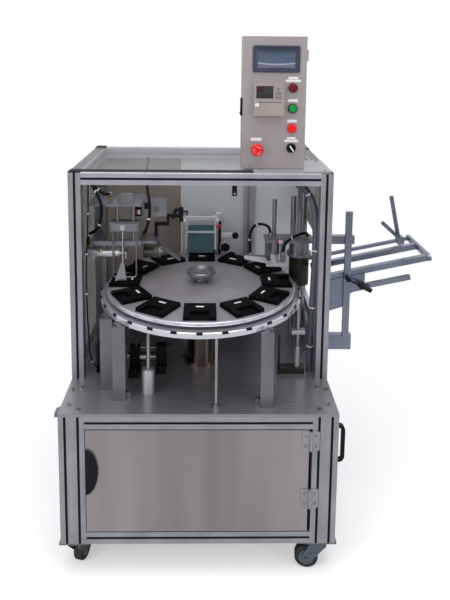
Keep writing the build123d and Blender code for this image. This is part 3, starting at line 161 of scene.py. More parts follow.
# One surface: a fine grain and a slower blotch, of real millimetres, drive its colour, gloss and height
def surface(
    name, tones, gloss, grain, blotch=90, height=0.02, metal=0.0, sockets=None, turned=False, share=0.55
):
    material = bpy.data.materials.new(name)
    tree = freshTree(material)
    place = addNode(tree, "ShaderNodeTexCoord").outputs["Object"]
    fine = lathePattern(tree, place, grain) if turned else grainPattern(tree, place, grain, grainNoise)
    slow = grainPattern(tree, place, blotch, blotchNoise)
    slow = addNode(tree, "ShaderNodeMath", {"operation": "MULTIPLY", 1: 1 - share}, {0: slow})
    both = {0: fine, 2: slow.outputs["Value"]}
    both = addNode(tree, "ShaderNodeMath", {"operation": "MULTIPLY_ADD", 1: share}, both).outputs["Value"]
    colour = addNode(tree, "ShaderNodeValToRGB", None, {"Fac": both})
    for element, at, tone in zip(colour.color_ramp.elements, ("firstTone", "lastTone"), tones):
        element.position = spread[at]
        element.color = paint(tone)
    rough = {
        "From Min": spread["firstGloss"], "From Max": spread["lastGloss"],
        "To Min": gloss[0], "To Max": gloss[1],
    }
    rough = addNode(tree, "ShaderNodeMapRange", rough, {"Value": both}).outputs["Result"]
    bump = {"Strength": spread["bump"], "Distance": height / 1000}
    bump = addNode(tree, "ShaderNodeBump", bump, {"Height": fine})
    wired = {"Base Color": colour.outputs["Color"], "Roughness": rough, "Normal": bump.outputs["Normal"]}
    shader = addNode(tree, "ShaderNodeBsdfPrincipled", {"Metallic": metal, **(sockets or {})}, wired)
    addNode(tree, "ShaderNodeOutputMaterial", None, {"Surface": shader.outputs["BSDF"]})
    return material


# Grain of drawn bars: lines along upright bars, and lines along level ones
upright, level = (1.6, 1.6, 260), (260, 260, 1.6)
# Clear anodised extrusion: matt lilac grey with faint drawn lines along the bar
uprightExtrusion = surface(
    "anodisedUprightExtrusion", ("#8a8990", "#a9a8b0"), (0.34, 0.46), upright, metal=0.8
)
levelExtrusion = surface("anodisedLevelExtrusion", ("#8b8a91", "#abaab2"), (0.34, 0.46), level, metal=0.8)
# Ring columns stand in the dial's shade: a darker, slightly duller copy of the extrusion, with painted shade
shadedColumnExtrusion = surface("anodisedColumnPaintedShade", ("#69686f", "#817f87"), (0.36, 0.48), upright, metal=0.8)
# The cage's rails and the strips on its posts are lighter, slightly glossier copies of the cabinet's
# extrusion than the cabinet's own: painted light
paintedLightCageRail = surface("anodisedCageRailPaintedLight", ("#a3a2ac", "#b9b8c2"), (0.3, 0.42), level, metal=0.75)
paintedLightCagePost = surface("anodisedCagePostPaintedLight", ("#8f8e96", "#aaa9b2"), (0.32, 0.44), upright, metal=0.75)
# Top faces of the front rail: painted highlight, a near-white strip that stands in for the ceiling's light
# caught as a white line
paintedHighlightEdge = surface("paintedHighlightRailTop", ("#d4d4da", "#e6e6ec"), (0.16, 0.24), (260, 2, 2), metal=0.9)
# Ground table plate: soft mirror with long grinding lines from side to side
groundPlate = surface(
    "groundTablePlate", ("#8c8b91", "#939299"), (0.26, 0.3), (320, 1.6, 40), (400, 300, 200), metal=0.6,
    height=0.002, share=0.4,
)
# Brushed stainless door and sheets: pinkish grey, fine lines across and slow upright bands
brushedSheet = surface(
    "brushedStainlessSheet", ("#857e80", "#a59d9f"), (0.3, 0.42), (240, 60, 0.9), (150, 150, 1500), metal=0.8,
    share=0.3,
)
# Satin stainless of the control box: warm pinkish grey, nearly matt, fine upright lines
satinBox = surface("satinStainlessBox", ("#9a9192", "#aca3a4"), (0.42, 0.55), (1.8, 40, 120), 160, metal=0.4)
# Turned dial: fine lathe rings in grey steel, half matt
turnedDial = surface("turnedDialSteel", ("#8f8a90", "#a7a2a8"), (0.28, 0.4), 2.6, metal=0.3, turned=True)
# Guide ring: bright turned aluminium, almost a mirror at its edge
turnedRing = surface(
    "turnedRingAluminium", ("#cacad3", "#e2e2ea"), (0.16, 0.26), 2.2, metal=0.75, turned=True
)
# Knob of the dial: darker steel whose hollow shows soft rings
knobSteel = surface(
    "turnedKnobSteel", ("#6a686e", "#87848b"), (0.24, 0.32), 1.4, height=0.004, metal=0.6, turned=True
)
# Moulded black parts: fine spark-eroded grain, soft sheen
blackPlastic = surface(
    "blackMouldedNylon", ("#08080b", "#121216"), (0.4, 0.55), 1.4, sockets={"Specular IOR Level": 0.16}
)
# Slot strips: dead black, so that the profile's slots read as dark lines
slotBlack = surface(
    "blackSlotStrip", ("#08080b", "#101014"), (0.6, 0.75), 1.2, sockets={"Specular IOR Level": 0.15}
)
# Machined acetal nests: deep black with mill lines
blackNest = surface(
    "blackMachinedAcetal", ("#030305", "#0a0a0d"), (0.46, 0.6), (40, 40, 1.5),
    sockets={"Specular IOR Level": 0.05},
)
# Switch housing and keys: even mid grey with a moulded tooth
greyPlastic = surface("greyMouldedPlastic", ("#6b6d6d", "#7d7f7f"), (0.42, 0.55), 1.4)
# Hinges: light grey castings, tumbled soft
castHinge = surface("tumbledCastAluminium", ("#8d8c93", "#aaa9b0"), (0.4, 0.52), 1.2, metal=0.7)
# Caster forks: blue-grey steel, darker than the frame above them
forkSteel = surface("blueGreyForkSteel", ("#4c565d", "#68737a"), (0.34, 0.48), 2.5, 18, metal=0.6)
# Zinc plated pressings of the casters: brownish and cloudy
zincPlate = surface("dullZincPlate", ("#6b5f55", "#8a7c70"), (0.35, 0.5), 2.5, 18, metal=0.8)
# Motor and indexer: dark grey enamel, faintly orange-peeled
motorPaint = surface("greyMachineEnamel", ("#3b3f43", "#4a4e52"), (0.35, 0.5), 3)
# Small motor of the left station: olive grey hammered paint
olivePaint = surface("oliveHammerPaint", ("#4e4b42", "#66625a"), (0.32, 0.48), 3, 20, 0.06, metal=0.3)
# Centre column: browned polished steel with upright streaks
polishedColumn = surface(
    "brownedPolishedSteel", ("#554c47", "#7c706a"), (0.14, 0.22), (60, 60, 1.2), metal=1.0
)
# Ground shafts: warm mirror grey with rings too fine to see singly
groundShaft = surface("groundSteelShaft", ("#8a8483", "#a9a4a2"), (0.16, 0.26), (4, 4, 0.9), metal=1.0)
# Rod holders: pale satin sleeves that stand out from the shafts
paleSatin = surface("paleSatinHolder", ("#a9a8ae", "#bdbcc2"), (0.34, 0.44), (4, 4, 1.2), metal=0.6)
# Milled plates of the stations: short cutter lines, mid grey
machinedPlate = surface("milledAluminiumPlate", ("#74767c", "#96989e"), (0.26, 0.4), (2, 60, 2), metal=0.8)
# Air cylinder: the brightest satin tube of the left station
satinCylinder = surface("satinAirCylinder", ("#b3b4b9", "#cfd0d4"), (0.24, 0.34), (120, 1.8, 1.8), metal=0.7)
# Lift cylinder: dark hard-anodised barrel
darkBarrel = surface("darkAnodisedBarrel", ("#26251f", "#3b3930"), (0.22, 0.34), (3, 3, 60), metal=0.7)
# Rear guard sheets: warm brown-grey at the left, light cool grey right of the seam
rearSheet = surface("brownGreyGuardSheet", ("#837a72", "#958b83"), (0.4, 0.55), 3, 240)
paleSheet = surface("paleGreyGuardSheet", ("#c8cbcf", "#d6d9dd"), (0.4, 0.55), 3, (300, 300, 240))
# Plate under the control box: painted grey, a little lighter than the rails
boxPlate = surface("greyPaintedPlate", ("#97969b", "#a9a8ad"), (0.35, 0.5), 3, 200, metal=0.3)
# White tongue and arm: milled plastic with cutter lines
whitePlastic = surface("whiteMachinedPlastic", ("#c9c9cd", "#dddde0"), (0.35, 0.5), (30, 30, 2))
# Rear magazine: white stoved enamel, smooth and slightly wavy
whiteEnamel = surface("whiteStoveEnamel", ("#c6c6ca", "#dadadd"), (0.3, 0.42), 2)
# Label stock: bright white film with a faint paper tooth, and its red twin
labelFilm = surface("whiteLabelFilm", ("#e4e4e8", "#f2f2f4"), (0.4, 0.5), 0.8, 30)
labelRed = surface("redLabelFilm", ("#a81c28", "#c42a36"), (0.4, 0.5), 0.8, 30)
# Loaded cartons: teal coated board, edges a little uneven in tone
tealBoard = surface("tealCartonBoard", ("#35525a", "#466871"), (0.5, 0.62), (1.2, 30, 1.2), 60)
# Bars of the right magazine: blue-grey ground steel, lines along the bar
groundBar = surface("groundSteelBar", ("#687080", "#8a92a3"), (0.2, 0.32), (120, 1.2, 1.2), metal=0.85)
# Tyres: dusty black rubber. Hubs: grey-green plastic, cloudy
tyreRubber = surface("blackTyreRubber", ("#121416", "#1f2224"), (0.55, 0.75), 1.5)
hubPlastic = surface("greyGreenHub", ("#4b5c63", "#66777e"), (0.36, 0.5), 1.5, 20)
# Counter's housing: beige moulding. Screen's bezel: glossy dark blue-grey
beigePlastic = surface("beigeMouldedHousing", ("#9a8f88", "#aaa098"), (0.42, 0.55), 1.2)
bezelPlastic = surface("darkBlueGreyBezel", ("#242a3a", "#363e52"), (0.2, 0.32), 1.2)
# Panel lamp and buttons: clear moulded plastic, deep in colour with a gloss coat
sheen = {"Specular IOR Level": 0.22, "Coat Weight": 0.12}
redLens = surface("darkRedLens", ("#5c0014", "#7a0220"), (0.16, 0.26), 2, sockets=sheen)
greenCap = surface("greenButtonCap", ("#007a34", "#009a46"), (0.24, 0.34), 2, sockets=sheen)
redCap = surface("redButtonCap", ("#ea140c", "#fa2818"), (0.24, 0.34), 2, sockets=sheen)
redMushroom = surface("redMushroomCap", ("#e01010", "#f52220"), (0.26, 0.36), 2, sockets=sheen)
dimDigits = surface("dimRedDigits", ("#341216", "#4a161c"), (0.2, 0.3), 2, sockets=sheen)
# Pale arrows moulded on the emergency stop
paleRed = surface("paleRedArrows", ("#f2807c", "#ff9a96"), (0.35, 0.45), 2)
# Guide plate of the left station: bright rolled steel, nearly a mirror
brightSteel = surface("brightRolledSteel", ("#b9b9c0", "#d9d9de"), (0.08, 0.16), (40, 2, 2), metal=1.0)
# Tinted film on the cage's side panes: brown-grey, half see-through
tintedFilm = surface(
    "brownGreyTintedFilm", ("#5d5752", "#6f6963"), (0.1, 0.2), 60, (90, 90, 900), 0.004,
    sockets={"Alpha": 0.66},
)
# Fittings: machined brass, yellow and bright
brass = surface("machinedBrass", ("#8f6f3c", "#c0985a"), (0.18, 0.3), (2, 2, 0.8), metal=1.0)
# Air hoses: black, with a thin line of light on each rib
hoseRubber = surface(
    "blackCorrugatedHose", ("#050609", "#0e0f13"), (0.38, 0.5), 1, sockets={"Specular IOR Level": 0.16}
)
# Cable conduit: blue-grey plastic with a dusty bloom
conduit = surface("blueGreyConduit", ("#464c5a", "#5f6575"), (0.4, 0.52), (1.5, 1.5, 3))
# Cage panes: clear acrylic, seen only by their reflections
clearSheet = surface(
    "clearAcrylicSheet", ("#b9bcbc", "#c6c9c9"), (0.05, 0.09), 60, 300, 0.004,
    sockets={"Alpha": 0.14, "IOR": 1.49},
)


# Screen glass: tones from foot to head, bowed lines of reflection, and dust in the gloss
def glassSurface(name, middle, reach, stops, gloss, bow):
    material = bpy.data.materials.new(name)
    tree = freshTree(material)
    place = addNode(tree, "ShaderNodeTexCoord").outputs["Object"]
    centre = spot(*middle)
    shift = {"Location": tuple(-centre[i] / (reach[i] / 1000) for i in range(3))}
    shift["Scale"] = tuple(1000 / size for size in reach)
    local = addNode(tree, "ShaderNodeMapping", shift, {"Vector": place}).outputs["Vector"]
    split = addNode(tree, "ShaderNodeSeparateXYZ", None, {"Vector": local}).outputs
    square = addNode(tree, "ShaderNodeMath", {"operation": "MULTIPLY"}, {0: split["X"], 1: split["X"]})
    sag = {0: square.outputs["Value"], 2: split["Z"]}
    sag = addNode(tree, "ShaderNodeMath", {"operation": "MULTIPLY_ADD", 1: -bow}, sag).outputs["Value"]
    rise = {"From Min": -1.0 - bow, "From Max": 1.0}
    rise = addNode(tree, "ShaderNodeMapRange", rise, {"Value": sag}).outputs["Result"]
    colour = addNode(tree, "ShaderNodeValToRGB", None, {"Fac": rise})
    ramp = colour.color_ramp
    for at, _ in stops[1:-1]:
        ramp.elements.new(at)
    for element, (at, code) in zip(ramp.elements, stops):
        element.position = at
        element.color = paint(code)
    dust = {"Scale": 260.0, "Detail": 2.0}
    dust = addNode(tree, "ShaderNodeTexNoise", dust, {"Vector": local}).outputs["Fac"]
    rough = addNode(tree, "ShaderNodeMapRange", {"To Min": gloss[0], "To Max": gloss[1]}, {"Value": dust})
    wired = {"Base Color": colour.outputs["Color"], "Roughness": rough.outputs["Result"]}
    shader = addNode(tree, "ShaderNodeBsdfPrincipled", {"Specular IOR Level": 0.35}, wired)
    addNode(tree, "ShaderNodeOutputMaterial", None, {"Surface": shader.outputs["BSDF"]})
    return material


# Touch screen: blue grey with one pale bowed reflection. Counter: nearly black, warm at the foot
screenGlass = glassSurface(
    "touchScreenGlass", (240, 241, 1626), (60, 60, 27),
    [
        (0.0, "#6f7186"), (0.17, "#5b6076"), (0.24, "#aab0be"), (0.29, "#505c70"),
        (0.7, "#566478"), (1.0, "#3c4658"),
    ],
    (0.16, 0.24), 0.16,
)
counterGlass = glassSurface(
    "counterDisplayGlass", (203, 231, 1519), (28, 28, 21),
    [(0.0, "#231d20"), (0.5, "#2e3536"), (1.0, "#2c3231")], (0.2, 0.3), 0.0,
)

# The solids that each finish is given to
finishes = {
    uprightExtrusion: ["base_posts"],
    shadedColumnExtrusion: ["ring_columns"],
    levelExtrusion: ["base_rails"],
    paintedLightCagePost: ["cage_posts"],
    paintedLightCageRail: ["cage_rails"],
    groundPlate: ["table_plate"],
    brushedSheet: ["cabinet_panels", "cabinet_door"],
    satinBox: ["control_box_body", "control_box_door"],
    turnedDial: ["dial_plate"],
    knobSteel: ["dial_knob"],
    turnedRing: ["guide_ring"],
    blackPlastic: [
        "side_handle", "door_handle", "selector_knob", "magazine_lever_upper", "magazine_lever_lower",
    ],
    blackNest: ["carton_nests"],
    greyPlastic: ["mains_switch_base", "mains_switch_knob"],
    castHinge: ["hinge_frame_leaves", "hinge_door_leaves"],
    zincPlate: ["caster_plates"],
    forkSteel: [name for name in nodes if name.startswith("caster_fork")],
    motorPaint: ["drive_motor", "cam_indexer"],
    polishedColumn: ["indexer_column"],
    groundShaft: ["dial_shaft", "support_rods", "left_push_rod", "left_funnel"],
    machinedPlate: ["left_mast", "right_mast", "left_lift"],
    satinCylinder: ["left_cylinder"],
    clearSheet: ["cage_clear_panels"],
    rearSheet: ["cage_rear_panels"],
    boxPlate: ["control_box_plate"],
    whitePlastic: ["right_arm", "right_paddle"],
    whiteEnamel: ["rear_magazine"],
    tealBoard: ["loaded_cartons"],
    groundBar: ["magazine_frame", "magazine_guide"],
    tyreRubber: [name for name in nodes if name.startswith("caster_wheel")],
    beigePlastic: ["counter_module"],
    bezelPlastic: ["touch_screen"],
    redLens: ["pilot_lamp"],
    greenCap: ["start_button"],
    redCap: ["stop_button"],
    redMushroom: ["emergency_stop"],
    hoseRubber: ["air_hoses"],
    conduit: ["cable_bundle"],
}
for material, names in finishes.items():
    for name in names:
        held = nodes[name].data.materials
        held.clear()
        held.append(material)
print("finishes given to", sum(len(names) for names in finishes.values()), "nodes")


alongX, upward, forward = (1, 0, 0), (0, 0, 1), (0, -1, 0)


# Small modelling tools: each adds one form to a mesh, in millimetres of the machine
def boxInto(bm, low, high):
    made = bmesh.ops.create_cube(bm, size=1.0)["verts"]
    size = Vector(high) - Vector(low)
    middle = (Vector(high) + Vector(low)) / 2
    for vert in made:
        vert.co = Vector((vert.co.x * size.x, vert.co.y * size.y, vert.co.z * size.z)) + middle
    return made


# A box moved by a matrix
def movedInto(bm, low, high, place):
    for vert in boxInto(bm, low, high):
        vert.co = place @ vert.co


# A box grown a little past a solid's faces, so that it covers them
def coverInto(bm, low, high, skin=0.4):
    boxInto(bm, [value - skin for value in low], [value + skin for value in high])


def rodInto(bm, start, end, radius, sides=20):
    start, end = Vector(start), Vector(end)
    turn = (end - start).to_track_quat("Z", "Y").to_matrix().to_4x4()
    place = Matrix.Translation((start + end) / 2) @ turn
    long = (end - start).length
    bmesh.ops.create_cone(
        bm, cap_ends=True, segments=sides, radius1=radius, radius2=radius, depth=long, matrix=place
    )


# A profile of (radius, height) pairs turned round an axis through the start
def turnedInto(bm, profile, start, along, sides=28, capped=True):
    turn = Vector(along).to_track_quat("Z", "Y").to_matrix()
    loops = []
    for radius, height in profile:
        ring = []
        for step in range(sides):
            angle = math.tau * step / sides
            local = Vector((radius * math.cos(angle), radius * math.sin(angle), height))
            ring.append(bm.verts.new(Vector(start) + turn @ local))
        loops.append(ring)
    for lower, upper in zip(loops, loops[1:]):
        for step in range(sides):
            after = (step + 1) % sides
            bm.faces.new((lower[step], lower[after], upper[after], upper[step]))
    if capped:
        bm.faces.new(list(reversed(loops[0])))
        bm.faces.new(loops[-1])


sharpAngle = math.radians(38)


# Makes the piece in metres at its place, with crisp edges kept sharp and the rest smooth
def pieceFrom(bm, name, body, material, bevel=None):
    bmesh.ops.recalc_face_normals(bm, faces=bm.faces)
    for vert in bm.verts:
        vert.co = spot(*vert.co)
    for face in bm.faces:
        face.smooth = True
    for edge in bm.edges:
        edge.smooth = len(edge.link_faces) == 2 and edge.calc_face_angle(0) < sharpAngle
    mesh = bpy.data.meshes.new(name)
    bm.to_mesh(mesh)
    bm.free()
    piece = placed(name, mesh)
    mesh.materials.append(material)
    if bevel:
        edge = piece.modifiers.new("edge", "BEVEL")
        edge.width = bevel / 1000
        edge.segments = 2
        edge.limit_method = "ANGLE"
    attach(piece, body)
    return piece


# One piece from a list of (maker, arguments...) parts
def shaped(name, body, material, parts, bevel=None):
    bm = bmesh.new()
    for make, *values in parts:
        make(bm, *values)
    return pieceFrom(bm, name, body, material, bevel)


# Slot strips: black strips sunk into the open slots of the profiles, so that the slots read dark
slotStrips = {"wide": 7.6, "sunk": 1.4, "deep": 5.0, "cell": 40}


def stripsOf(low, high, faces):
    size = [high[i] - low[i] for i in range(3)]
    made = []
    for side, across in faces:
        normal = "xyz".index(side[1])
        other = "xyz".index(across)
        count = round(size[other] / slotStrips["cell"])
        for index in range(count):
            centre = low[other] + size[other] * (index + 0.5) / count
            start, end = list(low), list(high)
            start[other] = centre - slotStrips["wide"] / 2
            end[other] = centre + slotStrips["wide"] / 2
            if side[0] == "+":
                end[normal] = high[normal] - slotStrips["sunk"]
                start[normal] = end[normal] - slotStrips["deep"]
            else:
                start[normal] = low[normal] + slotStrips["sunk"]
                end[normal] = start[normal] + slotStrips["deep"]
            made.append((boxInto, start, end))
    return made


def makeSlotStrips():
    base, under = machine["base"], machine["under"]
    strips = []
    for x in (-half, half - post):
        for y in (0, depth - post):
            faces = (("-y" if y == 0 else "+y", "x"), ("-x" if x < 0 else "+x", "y"))
            strips += stripsOf((x, y, base), (x + post, y + post, under), faces)
    for z in (base, under - rail):
        for y, outward in ((0, "-y"), (depth - rail, "+y")):
            strips += stripsOf((post - half, y, z), (half - post, y + rail, z + rail), ((outward, "z"),))
        for x, outward in ((-half, "-x"), (half - rail, "+x")):
            strips += stripsOf((x, post, z), (x + rail, depth - post, z + rail), ((outward, "z"),))
    low = cageTop - rail
    for x, outward in ((-half, "-x"), (half - rail, "+x")):
        for y, ahead in ((cageFront, "-y"), (depth - rail, "+y")):
            strips += stripsOf((x, y, table), (x + rail, y + rail, cageTop), ((ahead, "x"), (outward, "y")))
        strips += stripsOf((x, cageFront + rail, low), (x + rail, depth - rail, cageTop), ((outward, "z"),))
    for y, ahead in ((cageFront, "-y"), (depth - rail, "+y")):
        strips += stripsOf((rail - half, y, low), (half - rail, y + rail, cageTop), ((ahead, "z"),))
    shaped("slotBlackStrips", "machine", slotBlack, strips)


makeSlotStrips()
print("slot inserts made")


# A node tree with named numbers and a material as its inputs, and its group input's sockets
def growthTree(name, labels):
    tree = bpy.data.node_groups.new(name, "GeometryNodeTree")
    face = tree.interface
    face.new_socket("Geometry", in_out="INPUT", socket_type="NodeSocketGeometry")
    for label in labels:
        face.new_socket(label, in_out="INPUT", socket_type="NodeSocketFloat")
    face.new_socket("Material", in_out="INPUT", socket_type="NodeSocketMaterial")
    face.new_socket("Geometry", in_out="OUTPUT", socket_type="NodeSocketGeometry")
    return tree, addNode(tree, "NodeGroupInput").outputs


def closeTree(tree, made, given):
    real = addNode(tree, "GeometryNodeRealizeInstances", None, {"Geometry": made}).outputs["Geometry"]
    done = {"Geometry": real, "Material": given["Material"]}
    done = addNode(tree, "GeometryNodeSetMaterial", None, done).outputs["Geometry"]
    addNode(tree, "NodeGroupOutput", None, {"Geometry": done})
    return tree


# Screws: one node tree sets a socket head on every given point
def screwTree():
    labels = ("Head Radius", "Head Height", "Socket Share", "Socket Depth")
    tree, given = growthTree("socketScrews", labels)
    disc = {"fill_type": "NGON", "Vertices": 12}
    disc = addNode(tree, "GeometryNodeMeshCircle", disc, {"Radius": given["Head Radius"]}).outputs["Mesh"]
    head = {"Mesh": disc, "Offset Scale": given["Head Height"]}
    head = addNode(tree, "GeometryNodeExtrudeMesh", None, head).outputs
    rim = {"Mesh": head["Mesh"], "Selection": head["Top"]}
    rim = addNode(tree, "GeometryNodeExtrudeMesh", {"Offset Scale": 0.0}, rim).outputs
    inner = {"Geometry": rim["Mesh"], "Selection": rim["Top"], "Scale": given["Socket Share"]}
    inner = addNode(tree, "GeometryNodeScaleElements", {"domain": "FACE"}, inner).outputs["Geometry"]
    sunk = addNode(tree, "ShaderNodeMath", {"operation": "MULTIPLY", 1: -1.0}, {0: given["Socket Depth"]})
    recess = {"Mesh": inner, "Selection": rim["Top"], "Offset Scale": sunk.outputs["Value"]}
    recess = addNode(tree, "GeometryNodeExtrudeMesh", None, recess).outputs["Mesh"]
    facing = {"data_type": "FLOAT_VECTOR", "Name": "facing"}
    facing = addNode(tree, "GeometryNodeInputNamedAttribute", facing).outputs["Attribute"]
    turn = addNode(tree, "FunctionNodeAlignRotationToVector", {"axis": "Z"}, {"Vector": facing})
    turn = turn.outputs["Rotation"]
    size = {"data_type": "FLOAT", "Name": "size"}
    size = addNode(tree, "GeometryNodeInputNamedAttribute", size).outputs["Attribute"]
    heads = {"Points": given["Geometry"], "Instance": recess, "Rotation": turn, "Scale": size}
    heads = addNode(tree, "GeometryNodeInstanceOnPoints", None, heads).outputs["Instances"]
    return closeTree(tree, heads, given)


# Bakes what an object shows into a mesh of its own, and removes the object
def baked(holder):
    bpy.context.view_layer.update()
    depsgraph = bpy.context.evaluated_depsgraph_get()
    mesh = bpy.data.meshes.new_from_object(holder.evaluated_get(depsgraph), depsgraph=depsgraph)
    bpy.data.objects.remove(holder)
    return mesh


# Runs a tree on a mesh and keeps the result as a plain mesh
def grow(mesh, tree, values, name, body):
    holder = placed(name + "Seed", mesh)
    run = holder.modifiers.new("grow", "NODES")
    run.node_group = tree
    for item in tree.interface.items_tree:
        if item.item_type == "SOCKET" and item.in_out == "INPUT" and item.name in values:
            run[item.identifier] = values[item.name]
    result = baked(holder)
    result.name = name
    piece = placed(name, result)
    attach(piece, body)
    return piece


screwMaker = screwTree()
screwHeads = {"Head Radius": 0.0045, "Head Height": 0.003, "Socket Share": 0.55, "Socket Depth": 0.0022}
# Table screws of the right half, which the left half mirrors; hinge screws from the leaves' ends.
# Each size is a share of the screw head above
screwPlaces = {
    "table": ((407, 52), (372, 22), (386, 150), (414, 136), (412, 690), (388, 715)),
    "tableSize": 1.6,
    "rear": (-300, -200, -100, 0, 100, 200, 300),
    "rearEdge": 18,
    "rearSize": 1.0,
    "boxPlate": ((196, 222), (196, 388), (404, 222), (404, 388)),
    "boxPlateTop": 1266,
    "smallSize": 0.9,
    "leafEnds": (14, 48),  # up from the lower leaf's foot, and down from the upper leaf's head
    "frameLeaf": 361,
    "doorLeaf": 329,
    "leafFace": -3,
}


# spots hold (x, y, z, facing, size)
def screws(name, body, spots):
    mesh = bpy.data.meshes.new(name + "Points")
    mesh.from_pydata([spot(x, y, z) for x, y, z, facing, size in spots], [], [])
    mesh.attributes.new("facing", "FLOAT_VECTOR", "POINT")
    mesh.attributes.new("size", "FLOAT", "POINT")
    facing, size = mesh.attributes["facing"], mesh.attributes["size"]
    for index, entry in enumerate(spots):
        facing.data[index].vector = entry[3]
        size.data[index].value = entry[4]
    grow(mesh, screwMaker, {"Material": groundShaft, **screwHeads}, name, body)


def makeScrews():
    given = screwPlaces
    spots = []
    for side in (-1, 1):
        spots += [(side * x, y, table, upward, given["tableSize"]) for x, y in given["table"]]
    rearY, plateTop, small = depth - given["rearEdge"], given["boxPlateTop"], given["smallSize"]
    spots += [(x, rearY, table, upward, given["rearSize"]) for x in given["rear"]]
    spots += [(x, y, plateTop, upward, small) for x, y in given["boxPlate"]]
    screws("tableScrews", "machine", spots)
    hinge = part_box("hinge_frame_leaves")
    low, high = [corner[2] * 1000 for corner in hinge]
    ends = given["leafEnds"]
    levels = [low + end for end in ends] + [high - end for end in reversed(ends)]
    leaves = {"frameHingeScrews": ("machine", "frameLeaf"), "hingeScrews": ("door", "doorLeaf")}
    for name, (body, leaf) in leaves.items():
        screws(name, body, [(given[leaf], given["leafFace"], z, forward, small) for z in levels])


makeScrews()
print("screws set")


# Cage: the posts' outer lips run on over the rails' ends, under black caps; a seal lies before the top sheet.
# Films are (side, from, to) above the table
cageTrim = {
    "lip": 15.6, "slot": 7.6, "skin": 0.5, "rearSkin": 0.1, "endSkin": 0.3, "slotSkin": 0.45, "capHigh": 5.0,
    "paneX": 407.2, "paneFrom": 245, "paneTo": 700, "film": 0.2,
    "films": ((-1, 1, 666), (1, 1, 103), (1, 461, 666)),
    "paintedHighlightReach": 16, "cover": 0.4, "roundEdge": 1.6,
    "sealLeft": -390, "sealRight": 168, "sealDeep": 8, "sealHigh": 7, "railShade": 34,
}


def makeCageTrim():
    lip, railLow = cageTrim["lip"], cageTop - rail
    lips, caps, lines = [], [], []
    slotFrom, slotTo = (rail - cageTrim["slot"]) / 2, (rail + cageTrim["slot"]) / 2
    end, slotEnd = cageTrim["endSkin"], cageTrim["slotSkin"]
    for x, outer in ((-half, -half), (half - rail, half)):
        for y, face in ((cageFront, cageFront), (depth - rail, depth)):
            skin = cageTrim["skin"] if y == cageFront else cageTrim["rearSkin"]
            for start in (0, rail - lip):
                low = (x + start, face - skin, table)
                lips.append((boxInto, low, (x + start + lip, face + skin, cageTop)))
                low = (outer - skin, y + start, table)
                lips.append((boxInto, low, (outer + skin, y + start + lip, cageTop)))
            caps.append((boxInto, (x, y, cageTop), (x + rail, y + rail, cageTop + cageTrim["capHigh"])))
            lips.append((boxInto, (x, face - end, railLow), (x + rail, face + skin * 0.6, cageTop)))
            lips.append((boxInto, (outer - end, y, railLow), (outer + end, y + rail, cageTop)))
            low = (x + slotFrom, face - slotEnd, railLow)
            lines.append((boxInto, low, (x + slotTo, face + skin * 0.9, cageTop)))
            low = (outer - slotEnd, y + slotFrom, railLow)
            lines.append((boxInto, low, (outer + slotEnd, y + slotTo, cageTop)))
    # The lips take the cage post's lighter copy, with painted light
    shaped("postLips", "machine", paintedLightCagePost, lips)
    shaped("postCaps", "machine", blackPlastic, caps, 1.6)
    shaped("postSlotEnds", "machine", slotBlack, lines)
    # The right pane leaves the magazine's opening free between its two films
    films = []
    for side, low, high in cageTrim["films"]:
        x, thick = side * cageTrim["paneX"], cageTrim["film"]
        low = (x - thick, cageTrim["paneFrom"], table + low)
        films.append((boxInto, low, (x + thick, cageTrim["paneTo"], table + high)))
    shaped("paneFilms", "machine", tintedFilm, films)
    # Painted highlight: a near-white strip over the front rail's top face, and a rod along its front edge
    edge = (rail - half, cageFront + 1.2, cageTop - 0.8)
    paintedHighlightReach, cover = cageFront + cageTrim["paintedHighlightReach"], cageTop + cageTrim["cover"]
    white = [
        (boxInto, (rail - half, cageFront, cageTop - 1), (half - rail, paintedHighlightReach, cover)),
        (rodInto, edge, (half - rail, *edge[1:]), cageTrim["roundEdge"], 12),
    ]
    shaped("paintedHighlightRailTop", "machine", paintedHighlightEdge, white)
    low = (cageTrim["sealLeft"], paintedHighlightReach, cageTop)
    high = (cageTrim["sealRight"], paintedHighlightReach + cageTrim["sealDeep"], cageTop + cageTrim["sealHigh"])
    seal = (boxInto, low, high)
    shaped("topSheetSeal", "machine", blackPlastic, [seal], 0.8)
    # Painted shade: the right and left top rails get a dark grey enamel strip over their top faces, so they
    # look dark on top
    railShade, wide = [], cageTrim["railShade"]
    for x in (-half, half - wide):
        low = (x, cageFront + rail + 1, cageTop)
        railShade.append((boxInto, low, (x + wide, depth - rail - 1, cover)))
    shaped("paintedShadeRailTops", "machine", motorPaint, railShade)


# Guard door catch under the front rail, the right sheets' cool grey face, and the rear guard's hanging lever
def makeGuardFittings():
    catch = [(boxInto, (101, 207, 1182), (117, 222, 1217)), (boxInto, (104, 204.5, 1208), (114, 207, 1216))]
    shaped("guardCatch", "machine", blackPlastic, catch, 1.4)
    tongue = [(turnedInto, [(3.2, 0), (3.2, 1.5), (1.5, 2.2)], (109, 207, 1190), forward, 14)]
    shaped("guardCatchScrew", "machine", groundShaft, tongue)
    sheets = []
    for left, right in ((-85.4, 168), (208, 390)):
        sheets.append((coverInto, (left, 717.5, table + 1), (right, 722.5, cageTop - rail)))
    shaped("paleGuardSheets", "machine", paleSheet, sheets)
    lever = [
        (turnedInto, [(9, 0), (9, 6), (7, 8), (7, 18)], (-86, 717, 1006), forward),
        (rodInto, (-86, 704, 1006), (-110, 702, 1004), 5.5),
        (rodInto, (-108, 702, 1008), (-119, 700, 968), 5.0),
    ]
    shaped("rearGuardLever", "machine", blackPlastic, lever)


makeCageTrim()
makeGuardFittings()
print("cage trimmed")


# Dial and ring: dark oblong marks round the ring, and a rounded lip on the dial
ringMarks = {
    "count": 28, "reach": 346.5, "long": 20, "wide": 4.6, "below": 24,
    "outward": 1.6, "sunk": 7, "proud": 0.5,
}
dialLip = {"profile": [(329.8, 1.2), (330.6, 2.4), (330.5, 11.6), (329.6, 12.6)], "below": 14, "sides": 160}


